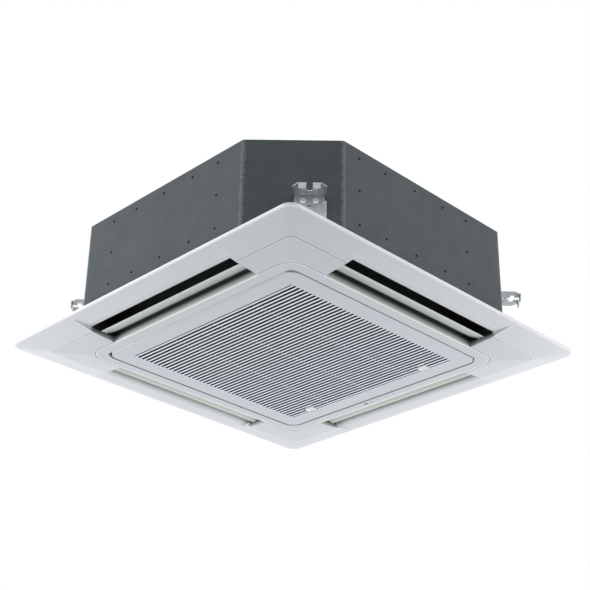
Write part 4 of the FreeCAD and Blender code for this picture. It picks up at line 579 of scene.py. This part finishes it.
def plated_steel(name, light, dark, spangle_mm, roughness):
    """Zinc on steel: crystals of their own brightness, seen in the colour and in the gloss."""
    material, tree, coords, shader = start_material(name)
    cells = add_node(tree, "ShaderNodeTexVoronoi", {"Vector": coords, "Scale": 1 / (spangle_mm * MM)})
    shade = add_node(tree, "ShaderNodeSeparateColor", {"Color": cells.outputs["Color"]}).outputs["Red"]
    gloss = add_node(tree, "ShaderNodeMapRange", {
        "Value": shade, "To Min": roughness - DARK_SMOOTHER, "To Max": roughness + LIGHT_ROUGHER,
    })
    haze = add_node(
        tree, "ShaderNodeTexNoise", {"Vector": coords, "Scale": 1 / HAZE_SIZE, "Detail": 3.0},
    )
    bump = add_node(
        tree, "ShaderNodeBump", {"Height": haze.outputs["Fac"], "Strength": 0.1, "Distance": HAZE_DEPTH},
    )
    feed(
        tree, shader, base_color=coats(tree, colour(dark), (shade, light)), metallic=ZINC_METALLIC,
        roughness=gloss.outputs["Result"], normal=bump.outputs["Normal"],
    )
    return material


galvanised = plated_steel("hot_dip_galvanised_steel", "#BBC1C5", "#A8AFB3", 7.0, 0.45)
dress([name for name in parts if name.startswith("hanger_bracket")], galvanised)
dress(["coil_end_plates", "motor_bracket", "control_box", "control_box_lid"], galvanised)
zinc_plate = plated_steel("bright_zinc_plated_steel", "#FAFBFB", "#ECEEEF", 2.5, 0.27)
dress(["hanger_screws", "panel_bolts", "motor_shaft", "fan_nut"], zinc_plate)
dress([name for name in parts if name.startswith("swing_motor")], zinc_plate)
motor_alloy = plated_steel("die_cast_aluminium", "#B9BCBE", "#A2A6A9", 4.0, 0.45)
dress(["fan_motor"], motor_alloy)
print("metal skins:", [metal.name for metal in (galvanised, zinc_plate, motor_alloy)])

# %% [markdown]
# The liner and the drain pan are expanded polystyrene, which shows the outlines of its beads, 3 to 5 mm
# wide; the seals are black closed-cell foam. Both are dull all over, with fine darker lines between the
# beads, so one recipe serves: a Voronoi pattern gives the distance to the nearest line.

# %% Foam
BEAD_LINE = 0.12


def cell_foam(name, light, dark, bead_mm, roughness, depth_mm):
    """A moulded foam: round beads pressed together, with fine dark lines between them."""
    material, tree, coords, shader = start_material(name)
    beads = add_node(
        tree, "ShaderNodeTexVoronoi", {"Vector": coords, "Scale": 1 / (bead_mm * MM)},
        feature="DISTANCE_TO_EDGE",
    )
    bead = add_node(
        tree, "ShaderNodeMapRange", {"Value": beads.outputs["Distance"], "From Max": BEAD_LINE},
    ).outputs["Result"]
    bump = add_node(
        tree, "ShaderNodeBump", {"Height": bead, "Strength": 0.4, "Distance": depth_mm * MM},
    )
    feed(
        tree, shader, base_color=coats(tree, colour(dark), (bead, light)), roughness=roughness,
        normal=bump.outputs["Normal"],
    )
    return material


polystyrene = cell_foam("expanded_polystyrene_white", "#EFEFEA", "#DCDCD5", 5.0, 0.85, 0.4)
dress(["insulation_liner", "drain_pan"], polystyrene)
seal_foam = cell_foam("closed_cell_foam_black", "#1B1F1D", "#0E1110", 3.0, 0.95, 0.3)
dress(["panel_seals"], seal_foam)
print("foams:", polystyrene.name, seal_foam.name)

# %% [markdown]
# The pipes are drawn copper and their nuts are turned brass. Bare metal tarnishes unevenly, so soft
# patches of a darker, duller tone lie between bright ones.

# %% Copper and brass
TARNISH_ROUGHER, BRIGHT_SMOOTHER = 0.12, 0.05


def bare_metal(name, light, dark, patch_mm, roughness):
    """A bare drawn or turned metal: where it is tarnished it is darker and duller."""
    material, tree, coords, shader = start_material(name)
    patches = add_node(
        tree, "ShaderNodeTexNoise", {"Vector": coords, "Scale": 1 / (patch_mm * MM), "Detail": 4.0},
    ).outputs["Fac"]
    gloss = add_node(tree, "ShaderNodeMapRange", {
        "Value": patches, "To Min": roughness + TARNISH_ROUGHER, "To Max": roughness - BRIGHT_SMOOTHER,
    })
    feed(
        tree, shader, base_color=coats(tree, colour(dark), (patches, light)), metallic=1.0,
        roughness=gloss.outputs["Result"],
    )
    return material


copper = bare_metal("drawn_copper_tube", "#D9936B", "#A9633F", 22.0, 0.3)
dress(["return_bends", "gas_line", "liquid_line"], copper)
brass = bare_metal("turned_brass", "#D8BC76", "#B4944C", 12.0, 0.28)
dress(["flare_nuts"], brass)
print("bare metals:", copper.name, brass.name)

# %% [markdown]
# The fin pack is a stack of thin aluminium leaves, about 1.6 mm apart and drawn at 4 mm, because finer
# lines would blur into grey. It is drawn as bright leaves with dark stripes of painted shade between
# them. The pack runs along X on some sides and along Y on the others, so the stripes follow X + Y,
# which changes along every side.

# %% Fin pack
FIN_PITCH, FIN_DEPTH = 4.0 * MM, 0.8 * MM


def wave(tree, value, pitch):
    """A sine from -1 to 1 that repeats at a pitch in metres."""
    phase = add_node(
        tree, "ShaderNodeMath", {0: value, 1: 2 * math.pi / pitch}, operation="MULTIPLY",
    ).outputs["Value"]
    return add_node(tree, "ShaderNodeMath", {0: phase}, operation="SINE").outputs["Value"]


fin_pack, tree, coords, shader = start_material("aluminium_fin_pack")
axes = add_node(tree, "ShaderNodeSeparateXYZ", {"Vector": coords}).outputs
diagonal = add_node(
    tree, "ShaderNodeMath", {0: axes["X"], 1: axes["Y"]}, operation="ADD",
).outputs["Value"]
# Bright leaves, with painted shade between them.
leaf = add_node(
    tree, "ShaderNodeMapRange", {"Value": wave(tree, diagonal, FIN_PITCH), "From Min": -1.0},
).outputs["Result"]
bump = add_node(tree, "ShaderNodeBump", {"Height": leaf, "Strength": 0.6, "Distance": FIN_DEPTH})
feed(
    tree, shader, base_color=coats(tree, colour("#5B6064"), (leaf, "#D4D8DB")), roughness=0.45,
    metallic=0.8, normal=bump.outputs["Normal"],
)
dress(["coil_fins"], fin_pack)
print("fins drawn every", FIN_PITCH / MM, "mm")

# %% [markdown]
# The filter is a net of fine polypropylene threads, woven about 1 mm apart and drawn at 3 mm so that
# the weave shows. Two waves at right angles cross, and the higher of them is the thread on top.

# %% Filter net
NET_PITCH, NET_DEPTH = 3.0 * MM, 0.3 * MM

filter_net, tree, coords, shader = start_material("woven_polypropylene_net")
axes = add_node(tree, "ShaderNodeSeparateXYZ", {"Vector": coords}).outputs
threads = {number: wave(tree, axes[letter], NET_PITCH) for number, letter in enumerate("XY")}
weave = add_node(tree, "ShaderNodeMath", threads, operation="MAXIMUM").outputs["Value"]
thread = add_node(tree, "ShaderNodeMapRange", {"Value": weave, "From Min": 0.2}).outputs["Result"]
bump = add_node(tree, "ShaderNodeBump", {"Height": thread, "Strength": 0.5, "Distance": NET_DEPTH})
feed(
    tree, shader, base_color=coats(tree, colour("#16191B"), (thread, "#3C4144")), roughness=0.8,
    normal=bump.outputs["Normal"],
)
dress(["filter_mesh"], filter_net)
print("net drawn every", NET_PITCH / MM, "mm")

# %% [markdown]
# The receiver hides behind a smoked polycarbonate window that passes infrared light and looks dark and
# glossy. Small frosted lamp lenses stand beside it, duller because their face scatters light.

# %% Receiver window and lamps
LENS_IOR = 1.58


def moulded_lens(name, light, shade, cloud_mm, roughness):
    """A polycarbonate moulding with a faint cloud in it."""
    material, tree, coords, shader = start_material(name)
    cloud = add_node(
        tree, "ShaderNodeTexNoise", {"Vector": coords, "Scale": 1 / (cloud_mm * MM), "Detail": 2.0},
    )
    tint = coats(tree, colour(light), (cloud.outputs["Fac"], shade))
    feed(tree, shader, base_color=tint, roughness=roughness, ior=LENS_IOR)
    return material


smoked_lens = moulded_lens("smoked_polycarbonate", "#4A4D51", "#3A3D41", 9.0, 0.14)
dress(["receiver_window"], smoked_lens)
lamp_lens = moulded_lens("frosted_polycarbonate_lamp", "#4F555B", "#646A70", 1.2, 0.3)
dress(["indicator_lamps"], lamp_lens)
print("lenses:", smoked_lens.name, lamp_lens.name)

# %% [markdown]
# The board behind the window is glass-epoxy laminate with green solder resist, under which the copper
# tracks show paler. A Voronoi pattern with straight-sided cells stands for the tracks.

# %% Receiver board
TRACK_SIZE = 6 * MM
TRACK_FROM, TRACK_TO = 0.3, 0.45

laminate, tree, coords, shader = start_material("glass_epoxy_laminate_green")
cells = add_node(
    tree, "ShaderNodeTexVoronoi", {"Vector": coords, "Scale": 1 / TRACK_SIZE}, distance="MANHATTAN",
    feature="F1",
)
bare = add_node(tree, "ShaderNodeMapRange", {
    "Value": cells.outputs["Distance"], "From Min": TRACK_FROM, "From Max": TRACK_TO,
})
tint = coats(tree, colour("#2F7A4C"), (bare.outputs["Result"], "#1D5A36"))
feed(tree, shader, base_color=tint, roughness=0.35)
dress(["receiver_board"], laminate)
print("board:", laminate.name, "with tracks about", TRACK_SIZE / MM, "mm apart")

# %% [markdown]
# Small pieces are modelled as by hand: a primitive is placed, opened in edit mode, and its faces are
# picked by where they lie. Four helpers keep that short. Every piece ends at the origin with its place
# in its mesh, and rides on the body that carries it.

# %% Modelling helpers
SMOOTH_BELOW = math.radians(35)


def start_piece(name, kind, spot, size):
    """Add a primitive of size one, stretch it to its size and leave it open in edit mode."""
    bpy.ops.object.select_all(action="DESELECT")
    getattr(bpy.ops.mesh, f"primitive_{kind}_add")(size=1.0, location=spot)
    piece = bpy.context.object
    piece.name = name
    bpy.ops.object.transform_apply(location=True, rotation=True, scale=True)
    bpy.ops.object.mode_set(mode="EDIT")
    bpy.ops.mesh.select_all(action="SELECT")
    bpy.ops.transform.resize(value=size, center_override=spot)
    return piece


def pick_faces(piece, wanted):
    """Select only the faces whose middle passes a test."""
    mesh = bmesh.from_edit_mesh(piece.data)
    bpy.ops.mesh.select_all(action="DESELECT")
    bpy.ops.mesh.select_mode(type="FACE")
    for face in mesh.faces:
        face_middle = sum((point.co for point in face.verts), Vector()) / len(face.verts)
        face.select_set(wanted(face_middle))
    mesh.select_flush_mode()
    bmesh.update_edit_mesh(piece.data)


def close_piece(piece, material, body):
    """Leave edit mode, smooth the round parts, give the finish and hang the piece on its body."""
    bpy.ops.object.mode_set(mode="OBJECT")
    bpy.ops.object.shade_smooth_by_angle(angle=SMOOTH_BELOW)
    piece.data.materials.append(material)
    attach(piece, body)


def copy_piece(piece, name, body, angle=0.0, step=(0.0, 0.0, 0.0)):
    """A copy with its own mesh, turned about the upright axis and moved, with its place in its mesh."""
    bpy.ops.object.select_all(action="DESELECT")
    copy = piece.copy()
    copy.data = piece.data.copy()
    copy.name = name
    bpy.context.collection.objects.link(copy)
    copy.select_set(True)
    bpy.context.view_layer.objects.active = copy
    copy.rotation_euler = (0.0, 0.0, angle)
    copy.location = step
    bpy.ops.object.transform_apply(location=True, rotation=True, scale=False)
    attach(copy, body)


print("helpers ready in Blender", bpy.app.version_string)

# %% [markdown]
# Each air outlet is lined with thin black foam, so that a look past the flap ends in darkness. The
# lining is one sleeve with a small gap round it: it stands in the panel's opening, steps in to the
# narrower window of the drain pan and runs up through it. A flat ring of edges is extruded upwards step
# by step, which keeps the sleeve open at both ends, and Solidify gives it its thickness inwards.

# %% Outlet linings
LINING_WALL = 0.6 * MM
LINING_GAP = 0.3
WINDOW_IN, WINDOW_OUT, WINDOW_REACH = 346.0, 400.0, 238.0
LINING_FOOT, LINING_STEP, LINING_TOP = -5.4 * MM, 3.7 * MM, 73.0 * MM

lining_foam = cell_foam("closed_cell_foam_duct_black", "#2A352F", "#1C2420", 4.0, 0.95, 0.3)
mouth_middle = (OUTLET_IN + OUTLET_OUT) / 2 * MM
mouth_width = (OUTLET_OUT - OUTLET_IN - 2 * LINING_GAP) * MM
mouth_length = 2 * (OUTLET_REACH - LINING_GAP) * MM
window_middle = (WINDOW_IN + WINDOW_OUT) / 2 * MM
window_width = (WINDOW_OUT - WINDOW_IN - 2 * LINING_GAP) * MM
window_length = 2 * (WINDOW_REACH - LINING_GAP) * MM
narrowing = (window_width / mouth_width, window_length / mouth_length, 1.0)
lining = start_piece(
    "outlet_lining_right", "plane", (mouth_middle, 0.0, LINING_FOOT), (mouth_width, mouth_length, 1.0),
)
bpy.ops.mesh.delete(type="ONLY_FACE")
bpy.ops.mesh.select_all(action="SELECT")
bpy.ops.mesh.extrude_region_move(TRANSFORM_OT_translate={"value": (0, 0, LINING_STEP - LINING_FOOT)})
bpy.ops.mesh.extrude_region_move(TRANSFORM_OT_translate={"value": (window_middle - mouth_middle, 0, 0)})
bpy.ops.transform.resize(value=narrowing, center_override=(window_middle, 0.0, LINING_STEP))
bpy.ops.mesh.extrude_region_move(TRANSFORM_OT_translate={"value": (0, 0, LINING_TOP - LINING_STEP)})
bpy.ops.mesh.select_all(action="SELECT")
bpy.ops.mesh.normals_make_consistent(inside=False)
bpy.ops.object.mode_set(mode="OBJECT")
wall = lining.modifiers.new("wall", "SOLIDIFY")
wall.thickness = LINING_WALL
wall.offset = -1.0
bpy.ops.object.modifier_apply(modifier=wall.name)
close_piece(lining, lining_foam, "unit")
for side, quarter in (("back", 1), ("left", 2), ("front", 3)):
    copy_piece(lining, f"outlet_lining_{side}", "unit", angle=quarter * math.pi / 2)
print("lining:", len(lining.data.polygons), "faces,", round(lining.dimensions.z / MM, 1), "mm tall")

# %% [markdown]
# The two catches of the grille are pushed with a thumb, so each has four grip ridges across its sliding
# direction. A ridge is a low bar with rounded edges: one is shaped and bevelled, then copied.

# %% Grip ridges
RIDGE_COUNT = 4
RIDGE_STEP = 3.6 * MM
RIDGE_ACROSS, RIDGE_FIRST = 189.0 * MM, 248.6 * MM
RIDGE_SIZE = (17.0 * MM, 1.4 * MM, 1.0 * MM)
RIDGE_ROUNDING = 0.35 * MM

for side, sign in (("left", -1), ("right", 1)):
    lowest_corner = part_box(f"grille_latch_{side}")[0]
    spot = (sign * RIDGE_ACROSS, RIDGE_FIRST, lowest_corner[2])
    ridge = start_piece(f"grip_ridge_{side}_0", "cube", spot, RIDGE_SIZE)
    bpy.ops.mesh.bevel(offset=RIDGE_ROUNDING, segments=2, affect="EDGES")
    close_piece(ridge, latch_abs, f"{side}_latch")
    for number in range(1, RIDGE_COUNT):
        copy_piece(
            ridge, f"grip_ridge_{side}_{number}", f"{side}_latch",
            step=(0.0, number * RIDGE_STEP, 0.0),
        )
print("grip ridges:", 2 * RIDGE_COUNT)

# %% [markdown]
# The top plate is held by flanged round-headed screws along its edge, one beside each fold. The screw
# starts as a cylinder for the flange. Its top face is inset and pulled up for the head, again for the
# head's stepped edge, and then inset and pushed down for the socket. It is shaped in the middle, copied
# to seven places and then moved to the first.

# %% Top plate screws
LID_TOP = 262.0 * MM
FLANGE_SIDES = 24
FLANGE_RADIUS, FLANGE_HEIGHT = 6.0 * MM, 1.2 * MM
NEAR_TOP = 0.9
HEAD_STEPS = ((1.6 * MM, 2.2 * MM), (0.5 * MM, 0.4 * MM), (1.2 * MM, -0.9 * MM))
SCREW_INSET = 9.0 * MM
SHARE_OF_FOLD = 0.8
CORNER_SIGNS = ((1, 1), (-1, 1), (-1, -1), (1, -1))

bpy.ops.object.select_all(action="DESELECT")
bpy.ops.mesh.primitive_cylinder_add(
    vertices=FLANGE_SIDES, radius=FLANGE_RADIUS, depth=FLANGE_HEIGHT,
    location=(0.0, 0.0, LID_TOP + FLANGE_HEIGHT / 2),
)
screw = bpy.context.object
screw.name = "lid_screw_0"
bpy.ops.object.transform_apply(location=True, rotation=True, scale=True)
bpy.ops.object.mode_set(mode="EDIT")
pick_faces(screw, lambda spot: spot.z > LID_TOP + NEAR_TOP * FLANGE_HEIGHT)
for inset, lift in HEAD_STEPS:
    bpy.ops.mesh.inset(thickness=inset)
    bpy.ops.mesh.extrude_region_move(TRANSFORM_OT_translate={"value": (0, 0, lift)})
close_piece(screw, zinc_plate, "unit")
edge_line, side_line = CASING_HALF - SCREW_INSET, SHARE_OF_FOLD * FOLD_PLACE
spots = [(sx * edge_line, sy * side_line) for sx, sy in CORNER_SIGNS]
spots += [(sx * side_line, sy * edge_line) for sx, sy in CORNER_SIGNS]
for number, (x, y) in enumerate(spots[1:], 1):
    copy_piece(screw, f"lid_screw_{number}", "unit", step=(x, y, 0.0))
bpy.ops.object.select_all(action="DESELECT")
screw.select_set(True)
bpy.context.view_layer.objects.active = screw
screw.location = (*spots[0], 0.0)
bpy.ops.object.transform_apply(location=True, rotation=False, scale=False)
print("lid screws:", len(spots), "with", len(screw.data.polygons), "faces each")

# %% [markdown]
# The photograph is a cut-out on white. The world shows white to the camera and to mirror and glass rays,
# while the light that it sends to the object is lower, so that pale surfaces keep their shading.

# %% World
AMBIENT = 0.19


def background_rays(tree):
    """One for a ray that shows the background: from the camera, a mirror or glass."""
    rays = add_node(tree, "ShaderNodeLightPath").outputs
    seen = add_node(
        tree, "ShaderNodeMath", {0: rays["Is Camera Ray"], 1: rays["Is Glossy Ray"]}, operation="MAXIMUM",
    ).outputs["Value"]
    return add_node(
        tree, "ShaderNodeMath", {0: seen, 1: rays["Is Transmission Ray"]}, operation="MAXIMUM",
    ).outputs["Value"]


world = bpy.data.worlds.new("studio")
bpy.context.scene.world = world
world.use_nodes = True
sky = world.node_tree
sky.nodes.clear()
strength = add_node(
    sky, "ShaderNodeMapRange", {"Value": background_rays(sky), "To Min": AMBIENT, "To Max": 1.0},
)
light = add_node(
    sky, "ShaderNodeBackground", {"Color": colour("#FFFFFF"), "Strength": strength.outputs["Result"]},
)
add_node(sky, "ShaderNodeOutputWorld", {"Surface": light.outputs["Background"]})
print("world lights the object with", AMBIENT)

# %% [markdown]
# In the photograph the surfaces that face the camera are the darkest, and those that face left, right or
# away are brighter, so the broad soft lamps stand all round the unit except beside the camera. Each is
# given by its compass angle, its height angle and its power in watts, and looks at the unit's middle.

# %% Lamps
LAMP_DISTANCE = 3.0
LAMP_SIZE = 1.8
LAMPS = {
    "left_low_lamp": (-152, -18, 74),
    "right_low_lamp": (72, -24, 67),
    "left_side_lamp": (-103, 9, 36),
    "right_side_lamp": (13, 9, 31),
    "top_lamp": (135, 70, 40),
}

for name, (compass, rise, power) in LAMPS.items():
    bpy.ops.object.select_all(action="DESELECT")
    around, above = math.radians(compass), math.radians(rise)
    outward = Vector((
        math.cos(above) * math.cos(around), math.cos(above) * math.sin(around), math.sin(above),
    ))
    facing = outward.to_track_quat("Z", "Y").to_euler()
    bpy.ops.object.light_add(type="AREA", location=outward * LAMP_DISTANCE, rotation=facing)
    lamp = bpy.context.object
    lamp.name = name
    lamp.data.size = LAMP_SIZE
    lamp.data.energy = power
print("lamps:", {name: f"{power} W" for name, (compass, rise, power) in LAMPS.items()})

# %% [markdown]
# The floor lies far below, as in a tall studio, so that a camera can look up from anywhere under the
# unit. It is pale screed that glows white for the same rays as the world, and what light falls on it is
# added, so a shadow on it still shows.

# %% Floor
FLOOR_LEVEL = -4.5
FLOOR_SIZE = 40
FLOOR_GLOW = 0.8
TROWEL_SIZE = 0.6

bpy.ops.object.select_all(action="DESELECT")
bpy.ops.mesh.primitive_plane_add(size=FLOOR_SIZE, location=(0, 0, FLOOR_LEVEL))
floor = bpy.context.object
floor.name = "floor"
pale_floor, tree, coords, shader = start_material("pale_floor_screed")
trowel = add_node(
    tree, "ShaderNodeTexNoise", {"Vector": coords, "Scale": 1 / TROWEL_SIZE, "Detail": 4.0},
)
tint = coats(tree, colour("#F4F4F4"), (trowel.outputs["Fac"], "#EFEFEF"))
glow = add_node(
    tree, "ShaderNodeMath", {0: background_rays(tree), 1: FLOOR_GLOW}, operation="MULTIPLY",
)
feed(
    tree, shader, base_color=tint, roughness=0.8, emission_color=colour("#FFFFFF"),
    emission_strength=glow.outputs["Value"],
)
floor.data.materials.append(pale_floor)
print("floor", -FLOOR_LEVEL, "m below the ceiling")
